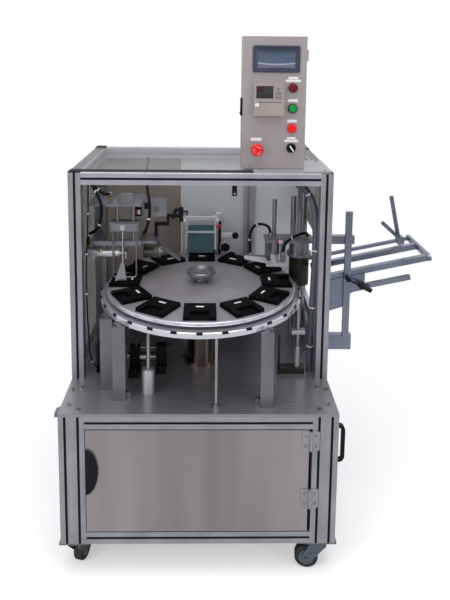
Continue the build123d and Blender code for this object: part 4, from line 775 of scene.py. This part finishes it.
def makeDialTrim():
    middle = (0, machine["dialBack"], 0)
    ringTop = machine["dialTop"] - ringMarks["below"]
    wide, long, reach = ringMarks["wide"] / 2, ringMarks["long"] / 2, ringMarks["reach"]
    marks = []
    for index in range(ringMarks["count"]):
        angle = math.tau * index / ringMarks["count"]
        place = Matrix.Translation(middle) @ Matrix.Rotation(angle, 4, "Z")
        low = (-long, -reach - wide - ringMarks["outward"], ringTop - ringMarks["sunk"])
        high = (long, wide - reach, ringTop + ringMarks["proud"])
        marks.append((movedInto, low, high, place))
    shaped("ringMarks", "machine", blackPlastic, marks, 0.8)
    low = (0, machine["dialBack"], machine["dialTop"] - dialLip["below"])
    edge = [(turnedInto, dialLip["profile"], low, upward, dialLip["sides"], False)]
    shaped("dialEdge", "dial", turnedRing, edge)


makeDialTrim()


# Rounded rectangles lofted one into the next, with closed ends: (half wide, half high, corner radius, y) each
def framedInto(bm, centre, loops, steps=6):
    rings = []
    for wide, high, radius, y in loops:
        ring = []
        for turn, (sideX, sideZ) in enumerate(((1, 1), (-1, 1), (-1, -1), (1, -1))):
            for step in range(steps + 1):
                angle = math.pi / 2 * (turn + step / steps)
                x = centre[0] + sideX * (wide - radius) + radius * math.cos(angle)
                z = centre[1] + sideZ * (high - radius) + radius * math.sin(angle)
                ring.append(bm.verts.new((x, y, z)))
        rings.append(ring)
    for outer, inner in zip(rings, rings[1:]):
        for step in range(len(outer)):
            after = (step + 1) % len(outer)
            bm.faces.new((outer[step], outer[after], inner[after], inner[step]))
    bm.faces.new(rings[0])
    bm.faces.new(rings[-1]).material_index = 1


# Touch screen: bezel with rounded corners and a wide bevel down to the glass
screenCentre = (240, 1626)
screenLoops = [
    (76.4, 43.4, 6.0, 245.0), (76.5, 43.5, 6.0, 240.6), (75.2, 42.2, 5.2, 239.3),
    (72.0, 39.0, 4.4, 239.0), (61.6, 29.0, 2.6, 241.4), (60.4, 27.8, 2.2, 241.9),
]


def makeScreen():
    parts = [(framedInto, screenCentre, screenLoops)]
    piece = shaped("screenBezel", "box_door", bezelPlastic, parts)
    piece.data.materials.append(screenGlass)
    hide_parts("touch_screen")


# Counter: dark window with a dim red corner, keys with domes, vents along the step and a blank label.
# Boxes are their low and high corners
counter = {
    "window": ((176, 230.4, 1499.6), (230.6, 232, 1539)),
    "digits": ((178, 230, 1520), (200, 230.5, 1537)),
    "label": ((171, 218.5, 1474), (184, 219.2, 1484)),
    "key": [(3.9, 0), (3.9, 0.8), (3.0, 1.5), (1.2, 1.8)],
    "keyFrom": (241, 229.7, 1504),
    "keyPitch": (11, 13),
    "keyPlaces": ((0.5, 2), (0, 1), (1, 1), (0, 0), (1, 0)),
    "vent": ((184, 218.7, 1486.5), (188, 220.4, 1490.4)),
    "vents": 11,
    "ventPitch": 7,
}


def makeCounterTrim():
    window = [(boxInto, *counter["window"])]
    shaped("counterWindow", "box_door", counterGlass, window, 0.5)
    shaped("counterDigits", "box_door", dimDigits, [(boxInto, *counter["digits"])], 0.4)
    (x, y, z), (pitchX, pitchZ) = counter["keyFrom"], counter["keyPitch"]
    keys = []
    for column, row in counter["keyPlaces"]:
        keys.append((turnedInto, counter["key"], (x + pitchX * column, y, z + pitchZ * row), forward, 16))
    shaped("counterKeys", "box_door", greyPlastic, keys)
    (fromX, front, foot), (toX, back, top) = counter["vent"]
    vents = []
    for index in range(counter["vents"]):
        step = counter["ventPitch"] * index
        vents.append((boxInto, (fromX + step, front, foot), (toX + step, back, top)))
    shaped("counterVents", "box_door", blackPlastic, vents)
    shaped("counterLabel", "box_door", labelFilm, [(boxInto, *counter["label"])], 0.3)


# Button bezels, the selector's white pointer, the emergency stop's pale arrows and the box's dark latch
panelPlaces = {"lamp": (296, 1533), "start": (296, 1466), "stop": (295, 1401), "selector": (294, 1336)}
panelFace = 245
bezelRing = [(15.6, 0), (15.9, 3.6), (15.0, 5.4), (13.3, 5.9), (13.0, 4.6), (13.0, 0.1)]
pointerBox = {"turn": -35, "low": (-2.1, 224.6, -11.2), "high": (2.1, 226.4, 11.2)}
# The shaft of each arrow is an arc of short boxes, and its head is made of the last ones, which narrow
stopArrows = {
    "place": (181, 0, 1332), "starts": (20, 140, 260), "steps": 6, "step": 13, "reach": 11.4,
    "headFrom": 4, "shaft": 1.9, "head": 3.4, "narrowing": 1.4, "half": 1.7, "front": 208.7, "back": 209.7,
}


def makePanelTrim():
    for name, (x, z) in panelPlaces.items():
        finish = {"stop": redCap, "lamp": redLens}.get(name, blackPlastic)
        parts = [(turnedInto, bezelRing, (x, panelFace, z), forward, 36, False)]
        shaped(name + "Bezel", "box_door", finish, parts)
    x, z = panelPlaces["selector"]
    turn = Matrix.Translation((x, 0, z)) @ Matrix.Rotation(math.radians(pointerBox["turn"]), 4, "Y")
    pointer = [(movedInto, pointerBox["low"], pointerBox["high"], turn)]
    shaped("selectorPointer", "selector", labelFilm, pointer, 0.4)
    arrows, given = [], stopArrows
    reach, side = given["reach"], given["half"]
    for start in given["starts"]:
        for step in range(given["steps"]):
            angle = math.radians(start + given["step"] * step)
            past = step - given["headFrom"]
            wide = given["shaft"] if past < 0 else given["head"] - given["narrowing"] * past
            place = Matrix.Translation(given["place"]) @ Matrix.Rotation(angle, 4, "Y")
            low, high = (reach - wide, given["front"], -side), (reach + wide, given["back"], side)
            arrows.append((movedInto, low, high, place))
    shaped("stopArrows", "emergency", paleRed, arrows)
    latch = [
        (coverInto, (126, 249, 1441), (132.6, 261, 1498)),
        (turnedInto, [(3.2, 0), (3.2, 2), (2, 3)], (126, 255, 1450), (-1, 0, 0), 12),
    ]
    shaped("boxLatch", "box_door", blackPlastic, latch, 0.8)


# Captions: blank white plates where the photograph has them (x, z, wide, high); nests carry one label each
captionPlates = [
    (296, 1565, 31, 8), (296, 1556, 48, 8), (296, 1491.6, 31, 9), (295, 1425, 31, 9),
    (294, 1368, 28, 8), (294, 1359, 45, 8), (179, 1364, 35, 10),
]
plateThick = 0.6
nestLabel = {"count": 12, "from": 238, "to": 245, "halfWide": 13, "above": 13}


def makeCaptions():
    plates = []
    for x, z, wide, high in captionPlates:
        low = (x - wide / 2, panelFace - plateThick, z - high / 2)
        plates.append((boxInto, low, (x + wide / 2, panelFace, z + high / 2)))
    shaped("captionPlates", "box_door", labelFilm, plates)
    side = nestLabel["halfWide"]
    middle = Matrix.Translation((0, machine["dialBack"], machine["dialTop"] + nestLabel["above"]))
    labels = []
    for index in range(nestLabel["count"]):
        turn = Matrix.Rotation(math.tau * index / nestLabel["count"], 4, "Z")
        low, high = (nestLabel["from"], -side, 0), (nestLabel["to"], side, plateThick)
        labels.append((movedInto, low, high, middle @ turn))
    shaped("nestLabels", "dial", labelFilm, labels)


makeScreen()
makeCounterTrim()
makePanelTrim()
makeCaptions()
print("control box dressed")

# Left station. An axis is (y, z), and cranks are rectangles (from x, to x, from z, to z) measured from the
# shelf's corner. Clamps are (x, front), and tubes run (from x, to x)
station = {
    "motor": [(18, 0), (20.5, 2), (20.5, 12), (21.2, 13), (21.2, 45), (20.5, 46), (20.5, 58), (17.5, 60)],
    "motorAxis": (430, 919),
    "shelf": (-159, 981),
    "cranks": [
        (-11, 0, 0, 50), (0, 33, 38, 50), (33, 41, 38, 80),
        (41, 79, 68, 80), (79, 91, 52, 92), (91, 109, 76, 92),
    ],
    "crankDepth": (426, 434),
    "clamps": ((-337, 244), (-224, 205), (-134, 232)),
    "clampHalf": 17,
    "tubeAxis": (262, 601),
    "thinTubeZ": 634,
    "cylinderAxis": (347, 941),
    "tubes": ((-320, -241), (-207, -151)),
    "fitting": [(8.2, 0), (8.2, 5), (6.8, 6), (6.8, 12), (6.0, 13)],
    "fittingPlaces": ((-397, 354, 955), (-320, 376, 1125), (-206, 430, 981)),
}


# Painted motor, black cranks, clamps and sensor block, steel tube and brass fittings
def makeLeftStation():
    y, z = station["motorAxis"]
    parts = [
        (turnedInto, station["motor"], (-211.6, y, z), alongX, 36),
        (coverInto, (-196, y - 8, z + 20), (-167, y + 8, z + 54)),
        (turnedInto, [(6, 0), (6, 9), (4, 10), (4, 16)], (-205, y, z + 20), upward, 16),
    ]
    shaped("stationMotor", "machine", olivePaint, parts)
    ends = [
        (turnedInto, [(22, 0), (22, 4), (8, 4.5), (8, 7)], (-153, y, z), alongX, 32),
        (turnedInto, [(5.2, 0), (5.2, 8), (4.2, 9.3)], (-151, y, z), alongX, 16),
    ]
    shaped("stationMotorEnd", "machine", machinedPlate, ends)
    parts = []
    (x, z), (front, back) = station["shelf"], station["crankDepth"]
    for fromX, toX, fromZ, toZ in station["cranks"]:
        parts.append((coverInto, (x + fromX, front, z + fromZ), (x + toX, back, z + toZ), 0.5))
    foot, side = table + 0.5, station["clampHalf"]
    y, z = station["tubeAxis"]
    front, back, head = y - 18, y + 18, z + 45
    for x, toe in station["clamps"]:
        parts.append((coverInto, (x - side, front, foot), (x + side, back, head)))
        parts.append((coverInto, (x - side, toe, foot), (x + side, back, z - 20)))
        parts.append((turnedInto, [(7, 0), (7, 7), (5.5, 8)], (x, y, head), upward, 20))
        parts.append((turnedInto, [(9, 0), (9, 5), (7, 6)], (x, front, z), forward, 24))
    parts.append((coverInto, (-217.5, 69, 745), (-182.5, 103, 792.5)))
    gland = [(6, 0), (6, 8), (4.5, 9), (4.5, 20)]
    parts.append((turnedInto, gland, (-200, 86, 745), (0, 0, -1), 16))
    shaped("stationBlackParts", "machine", blackPlastic, parts, 0.8)
    tubes = []
    for start, end in station["tubes"]:
        long, thin = end - start, (start, y, station["thinTubeZ"])
        tubes.append((turnedInto, [(15.3, 0), (15.3, long)], (start, y, z), alongX, 32))
        tubes.append((turnedInto, [(17, 0), (17, 5), (15.4, 6)], (start, y, z), alongX, 32))
        tubes.append((turnedInto, [(4.3, 0), (4.3, long)], thin, alongX, 16))
    shaped("stationTube", "machine", groundShaft, tubes)
    # End caps and gland over the cylinder's barrel
    y, z = station["cylinderAxis"]
    bands = [
        (turnedInto, [(15.4, 0), (15.6, 1), (15.6, 9), (14.4, 10)], (-369, y, z), alongX, 32),
        (turnedInto, [(14.4, 0), (15.6, 1), (15.6, 15), (14.9, 16)], (-300.6, y, z), alongX, 32),
        (turnedInto, [(8, 0), (8, 3), (6.5, 4), (6.5, 7)], (-285, y, z), alongX, 20),
    ]
    shaped("cylinderBands", "machine", satinCylinder, bands)
    bits = [(turnedInto, station["fitting"], place, upward, 6) for place in station["fittingPlaces"]]
    bits.append((turnedInto, [(7, 0), (7, 8), (5, 9), (5, 14)], (-404, y, z), (-1, 0, 0), 6))
    bits.append((turnedInto, [(6, 0), (6, 7), (4.5, 8)], (-352, y - 11, z + 11), (0, -1, 0.4), 6))
    shaped("brassFittings", "machine", brass, bits)
    # Two valve blocks on the plate's edge, the left one with a blank two-tone label
    valves = [
        (boxInto, (-240, 390, 1062), (-214, 412, 1117)),
        (boxInto, (-204, 397, 1087), (-189, 405, 1109)),
    ]
    shaped("valveBlocks", "machine", blackPlastic, valves, 1.2)
    white = [(boxInto, (-227, 389.3, 1070), (-217, 390, 1086))]
    shaped("valveLabelWhite", "machine", labelFilm, white)
    red = [(boxInto, (-234, 389.3, 1070), (-227, 390, 1086))]
    shaped("valveLabelRed", "machine", labelRed, red)


# Guide plate of the left station: a bright flared sheet that leans back as it rises, on a thin stem
guide = {
    "corner": (-271, 306, 856), "outline": [(-27, 0), (14, 0), (5, 58), (-6, 62)], "lean": 0.12, "thick": 2,
}


def flareInto(bm):
    x, y, z = guide["corner"]
    sides = []
    for thick in (0, guide["thick"]):
        corners = [(x + across, y + thick + up * guide["lean"], z + up) for across, up in guide["outline"]]
        sides.append([bm.verts.new(corner) for corner in corners])
    front, back = sides
    bm.faces.new(front)
    bm.faces.new(list(reversed(back)))
    for index in range(len(front)):
        after = (index + 1) % len(front)
        bm.faces.new((front[index], back[index], back[after], front[after]))


def makeGuidePlate():
    parts = [
        (flareInto,),
        (rodInto, (-271, 314, 912), (-271, 315, 1045), 3.0),
        (boxInto, (-279, 312, 1034), (-263, 316, 1052)),
    ]
    piece = shaped("guidePlate", "left_carriage", brightSteel, parts)
    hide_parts("left_funnel")


makeLeftStation()
makeGuidePlate()

# Loaded cartons stand on edge as flat blanks, a little uneven; knobs are (x, z, radius, reach)
blanks = {"count": 20, "front": 607, "pitch": 2.9, "thick": 2.3, "dip": 1.5, "lean": 0.8}
magazineKnobs = ((92, 874, 20.4, 26), (133, 916, 13.4, 12))
steelFitting = [(8.2, 0), (8.2, 5), (6.8, 6), (6.8, 11), (6.0, 12)]
steelFittingPlaces = ((186, 540, 868), (300, 431, 907), (258, 492, 961), (392, 452, 961))


# Rods: pale holders, the black base with its collar; dark lift barrel, labels and the magazine's knobs
def makeStationTrim():
    holders = [
        (turnedInto, [(19.3, 0.4), (19.3, 81), (17.4, 84.4), (7, 84.6)], (-166, 119, table), upward, 36),
        (turnedInto, [(9.4, 0), (9.4, 71), (8, 72.4)], (335, 255, 571), upward, 24),
    ]
    shaped("rodHolders", "machine", paleSatin, holders)
    dark = [
        (coverInto, (268, 237, 551.4), (358, 273, 571)),
        (coverInto, (268, 246, 571), (274, 255, 686)),
        (turnedInto, [(37.3, 0.2), (37.3, 108.8)], (365, 475, 786), upward, 48),
    ]
    shaped("rodBase", "machine", darkBarrel, dark, 0.6)
    collar = [(coverInto, (312.5, 243, 691), (357.5, 267, 704), 0.6)]
    shaped("rodCollar", "machine", paleSatin, collar, 1.2)
    knobs = []
    for x, z, radius, reach in magazineKnobs:
        profile = [(radius, 0), (radius, reach * 0.75), (radius - 2, reach), (radius * 0.4, reach + 0.4)]
        knobs.append((turnedInto, profile, (x, 648, z), forward, 14))
    knobs.append((coverInto, (66, 648, 841), (76, 660, 971)))
    shaped("magazineKnobs", "machine", blackPlastic, knobs, 0.8)
    boards = []
    for index in range(blanks["count"]):
        dip = blanks["dip"] * math.sin(index * 2.3)
        lean = blanks["lean"] * math.sin(index * 1.7)
        y = blanks["front"] + blanks["pitch"] * index
        boards.append((boxInto, (lean - 53, y, 856), (lean + 45, y + blanks["thick"], 953 + dip)))
    piece = shaped("cartonBlanks", "machine", tealBoard, boards, 0.5)
    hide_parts("loaded_cartons")
    flag = [(boxInto, (56.4, 612, 955), (76, 616, 968))]
    shaped("magazineFlag", "machine", labelRed, flag, 0.6)
    white = [(boxInto, (284, 439.2, 949.5), (299, 440, 960.5))]
    shaped("plateLabel", "machine", labelFilm, white)
    red = [(boxInto, (273, 439.2, 949.5), (284, 440, 960.5))]
    shaped("plateLabelRed", "machine", labelRed, red)
    fittings = [(turnedInto, steelFitting, place, upward, 6) for place in steelFittingPlaces]
    shaped("steelFittings", "machine", groundShaft, fittings)


makeStationTrim()
print("stations dressed")


# Casters: grey-green hub caps with a nut on both faces of each wheel, along the wheel's own axle
casterHeading = {"front_left": 75, "front_right": 172, "rear_left": 262, "rear_right": 285}
hubCap = {"profile": [(23.6, 0), (23.6, 1.2), (21, 2.2), (17, 1.0), (11.5, 0.6), (11, 1.1)], "out": 14.2}


def makeHubs():
    for corner, heading in casterHeading.items():
        low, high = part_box("caster_wheel_" + corner)
        centre = fromWorld([(low[i] + high[i]) / 2 for i in range(3)])
        axle = Vector((-math.sin(math.radians(heading)), math.cos(math.radians(heading)), 0))
        parts = []
        for side in (-1, 1):
            start = centre + axle * side * hubCap["out"]
            parts.append((turnedInto, hubCap["profile"], start, axle * side, 32))
        shaped("hubCaps_" + corner, "wheel_" + corner, hubPlastic, parts)


makeHubs()

# Hoses: the solids' own ends, ribbed along a smooth spline; the left ones hang further forward than those
hoseRoutes = {
    "leftSupply": [
        (-401, 440, 1217), (-396, 404, 1204), (-374, 352, 1188), (-352, 326, 1170), (-332, 328, 1156),
        (-321, 358, 1152), (-320, 376, 1144), (-320, 376, 1125),
    ],
    "leftBranch": [
        (-401, 408, 1217), (-394, 370, 1200), (-368, 320, 1178), (-345, 300, 1150), (-337, 298, 1110),
        (-342, 298, 1072), (-354, 302, 1042), (-374, 324, 1022), (-392, 346, 1012), (-397, 354, 996),
        (-397, 354, 958),
    ],
    "middleDrop": [
        (-197, 480, 1257), (-197, 430, 1225), (-194, 370, 1195), (-184, 334, 1160), (-177, 328, 1110),
        (-181, 328, 1070), (-190, 332, 1036), (-199, 350, 1012), (-205, 388, 1004), (-206, 420, 1002),
        (-206, 430, 992), (-206, 430, 981),
    ],
    "rightArch": [
        (186, 540, 868), (186, 540, 903), (182, 532, 949), (192, 524, 985), (214, 512, 1003),
        (240, 500, 1003), (258, 492, 989), (258, 492, 961),
    ],
    "rightBend": [
        (300, 431, 907), (300, 431, 937), (314, 427, 963), (342, 427, 981), (368, 434, 989),
        (386, 446, 987), (392, 452, 979), (392, 452, 961),
    ],
}
bundleRoute = [
    (296, 300, 1257), (296, 300, 1227), (324, 294, 1205), (354, 287, 1187), (378, 276, 1147),
    (387, 267, 1091), (389, 264, 982), (384, 264, 801), (378, 264, 661), (378, 264, 551),
]
# A thin cable that runs down the left post and curls at its foot, and a loop under the dial
thinCables = {
    "postCable": [
        (-376, 262, 1217), (-377, 262, 1130), (-381, 262, 1040), (-386, 260, 960), (-388, 262, 846),
        (-384, 262, 694), (-380, 262, 600), (-364, 264, 566), (-337, 240, 560), (-316, 236, 574),
    ],
    "dialLoop": [
        (92, 300, 790), (92, 300, 765), (84, 292, 742), (64, 290, 741), (58, 296, 764), (58, 300, 790),
    ],
}
# Cable ties: the share of the route's length at which each sits
tieShares = {
    "leftSupply": (0.12, 0.4, 0.8), "leftBranch": (0.2, 0.55, 0.85), "middleDrop": (0.45, 0.82),
    "rightArch": (0.2, 0.55), "rightBend": (0.35,), "postCable": (0.1, 0.3, 0.45, 0.75),
    "bundle": (0.12, 0.36, 0.68, 0.83, 0.94),
}
tieRadius = {"postCable": 3.6, "bundle": 12.9, "hose": 6.2}
# Radius, pitch and depth of the ribs
ribs = {"hose": (5.5, 3.4, 0.7), "bundle": (12.0, 4.6, 0.7), "cable": (2.4, 4.0, 0.1)}


def splinePoints(route):
    curve = bpy.data.curves.new("route", "CURVE")
    curve.dimensions = "3D"
    curve.resolution_u = 24
    line = curve.splines.new("NURBS")
    line.points.add(len(route) - 1)
    for point, place in zip(line.points, route):
        point.co = (*spot(*place), 1.0)
    line.order_u = 3
    line.use_endpoint_u = True
    return baked(placed("route", curve))


# Tube along each line of the mesh, its radius waving once for every rib
def ribTree():
    tree, given = growthTree("ribbedHose", ("Radius", "Rib Pitch", "Rib Depth"))
    pitch = given["Rib Pitch"]
    line = addNode(tree, "GeometryNodeMeshToCurve", None, {"Mesh": given["Geometry"]}).outputs["Curve"]
    step = addNode(tree, "ShaderNodeMath", {"operation": "MULTIPLY", 1: 0.25}, {0: pitch}).outputs["Value"]
    line = {"Curve": line, "Length": step}
    line = addNode(tree, "GeometryNodeResampleCurve", {"mode": "LENGTH"}, line).outputs["Curve"]
    along = addNode(tree, "GeometryNodeSplineParameter").outputs["Length"]
    turns = addNode(tree, "ShaderNodeMath", {"operation": "DIVIDE"}, {0: along, 1: pitch}).outputs["Value"]
    phase = addNode(tree, "ShaderNodeMath", {"operation": "MULTIPLY", 1: math.tau}, {0: turns})
    wave = {0: phase.outputs["Value"]}
    wave = addNode(tree, "ShaderNodeMath", {"operation": "SINE"}, wave).outputs["Value"]
    dip = {"operation": "MULTIPLY_ADD", 1: 0.5, 2: -0.5}
    dip = addNode(tree, "ShaderNodeMath", dip, {0: wave}).outputs["Value"]
    rib = {0: dip, 1: given["Rib Depth"], 2: given["Radius"]}
    rib = addNode(tree, "ShaderNodeMath", {"operation": "MULTIPLY_ADD"}, rib).outputs["Value"]
    section = addNode(tree, "GeometryNodeCurvePrimitiveCircle", {"Resolution": 14, "Radius": 1.0})
    tube = {"Curve": line, "Profile Curve": section.outputs["Curve"], "Scale": rib}
    tube = addNode(tree, "GeometryNodeCurveToMesh", {"Fill Caps": True}, tube).outputs["Mesh"]
    return closeTree(tree, tube, given)


ribMaker = ribTree()


# One ribbed piece along all the given routes
def ribbed(name, routes, kind, material):
    bm = bmesh.new()
    for route in routes:
        bm.from_mesh(splinePoints(route))
    lines = bpy.data.meshes.new("routes")
    bm.to_mesh(lines)
    bm.free()
    labels = ("Radius", "Rib Pitch", "Rib Depth")
    values = {label: size / 1000 for label, size in zip(labels, ribs[kind])}
    return grow(lines, ribMaker, {"Material": material, **values}, name, "machine")


def makeHoses():
    piece = ribbed("ribbedHoses", hoseRoutes.values(), "hose", hoseRubber)
    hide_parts("air_hoses")
    piece = ribbed("ribbedConduit", [bundleRoute], "bundle", conduit)
    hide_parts("cable_bundle")
    ribbed("thinCables", thinCables.values(), "cable", hoseRubber)


# White ties: a band and its square head, set across the hose at shares of its length
def makeTies():
    routes = {**hoseRoutes, "postCable": thinCables["postCable"], "bundle": bundleRoute}
    parts = []
    for name, shares in tieShares.items():
        radius = tieRadius.get(name, tieRadius["hose"])
        points = [vert.co.copy() for vert in splinePoints(routes[name]).vertices]
        band = [(radius - 0.5, 0), (radius + 0.3, 0.4), (radius + 0.3, 3.6), (radius - 0.5, 4)]
        for share in shares:
            index = min(int(share * len(points)), len(points) - 2)
            along = (points[index + 1] - points[index]).normalized()
            centre = fromWorld(points[index])
            parts.append((turnedInto, band, centre - along * 2, along, 20))
            head, size = centre + Vector((0, -radius - 1.2, 0)), Vector((2.4, 2.0, 2.2))
            parts.append((boxInto, head - size, head + size))
    shaped("cableTies", "machine", labelFilm, parts)


makeHoses()
makeTies()
print("hoses laid")

# Studio: white world, pale floor that keeps the shadow, soft lamps as (place, target, size, power)
studio = {"soft": 0.42, "floorGlow": 0.4, "floorSize": 14, "whiteFrom": 0.75, "whiteTo": 1.5}
lamps = {
    "overhead": ((100, -300, 3600), (0, 300, 700), 2.6, 64),
    "leftSoft": ((-2600, -2200, 2200), (0, 300, 800), 2.0, 44),
    "rightSoft": ((2600, -1800, 1800), (0, 300, 800), 1.8, 18),
}


# Camera, mirrors and glass see plain white, and only the light on surfaces is softer
def makeWorld():
    world = bpy.data.worlds.new("studio")
    bpy.context.scene.world = world
    tree = freshTree(world)
    rays = addNode(tree, "ShaderNodeLightPath").outputs
    seen = {0: rays["Is Camera Ray"], 1: rays["Is Glossy Ray"]}
    seen = addNode(tree, "ShaderNodeMath", {"operation": "MAXIMUM"}, seen).outputs["Value"]
    seen = {0: seen, 1: rays["Is Transmission Ray"]}
    seen = addNode(tree, "ShaderNodeMath", {"operation": "MAXIMUM"}, seen).outputs["Value"]
    soft = addNode(tree, "ShaderNodeBackground", {"Color": paint("#dfe3e8"), "Strength": studio["soft"]})
    white = addNode(tree, "ShaderNodeBackground", {"Color": paint("#ffffff"), "Strength": 1.0})
    mix = {"Fac": seen, 1: soft.outputs["Background"], 2: white.outputs["Background"]}
    mix = addNode(tree, "ShaderNodeMixShader", None, mix).outputs["Shader"]
    addNode(tree, "ShaderNodeOutputWorld", None, {"Surface": mix})


# Beyond the machine's shadow the floor turns as white as the world, so no horizon shows
def floorMaterial():
    material = bpy.data.materials.new("paleFloor")
    tree = freshTree(material)
    shade = addNode(tree, "ShaderNodeBsdfDiffuse", {"Color": paint("#f2f2f2")}).outputs["BSDF"]
    glow = {"Color": paint("#ffffff"), "Strength": studio["floorGlow"]}
    glow = addNode(tree, "ShaderNodeEmission", glow).outputs["Emission"]
    near = addNode(tree, "ShaderNodeAddShader", None, {0: shade, 1: glow}).outputs["Shader"]
    place = addNode(tree, "ShaderNodeTexCoord").outputs["Object"]
    reach = addNode(tree, "ShaderNodeVectorMath", {"operation": "LENGTH"}, {0: place}).outputs["Value"]
    far = {"From Min": studio["whiteFrom"], "From Max": studio["whiteTo"]}
    far = addNode(tree, "ShaderNodeMapRange", far, {"Value": reach}).outputs["Result"]
    white = {"Color": paint("#ffffff"), "Strength": 1.0}
    white = addNode(tree, "ShaderNodeEmission", white).outputs["Emission"]
    seen = addNode(tree, "ShaderNodeMixShader", None, {"Fac": far, 1: near, 2: white}).outputs["Shader"]
    camera = addNode(tree, "ShaderNodeLightPath").outputs["Is Camera Ray"]
    mix = addNode(tree, "ShaderNodeMixShader", None, {"Fac": camera, 1: shade, 2: seen}).outputs["Shader"]
    addNode(tree, "ShaderNodeOutputMaterial", None, {"Surface": mix})
    return material


def makeStudio():
    makeWorld()
    bm = bmesh.new()
    bmesh.ops.create_grid(bm, x_segments=2, y_segments=2, size=studio["floorSize"])
    mesh = bpy.data.meshes.new("floor")
    bm.to_mesh(mesh)
    bm.free()
    mesh.materials.append(floorMaterial())
    floor = placed("floor", mesh)
    for name, (place, target, size, power) in lamps.items():
        data = bpy.data.lights.new(name, "AREA")
        data.shape = "SQUARE"
        data.size = size
        data.energy = power
        aim = (spot(*target) - spot(*place)).to_track_quat("-Z", "Y").to_matrix().to_4x4()
        placed(name, data).matrix_world = Matrix.Translation(spot(*place)) @ aim
    bpy.context.scene.view_settings.view_transform = "Standard"


makeStudio()
print("studio lit")
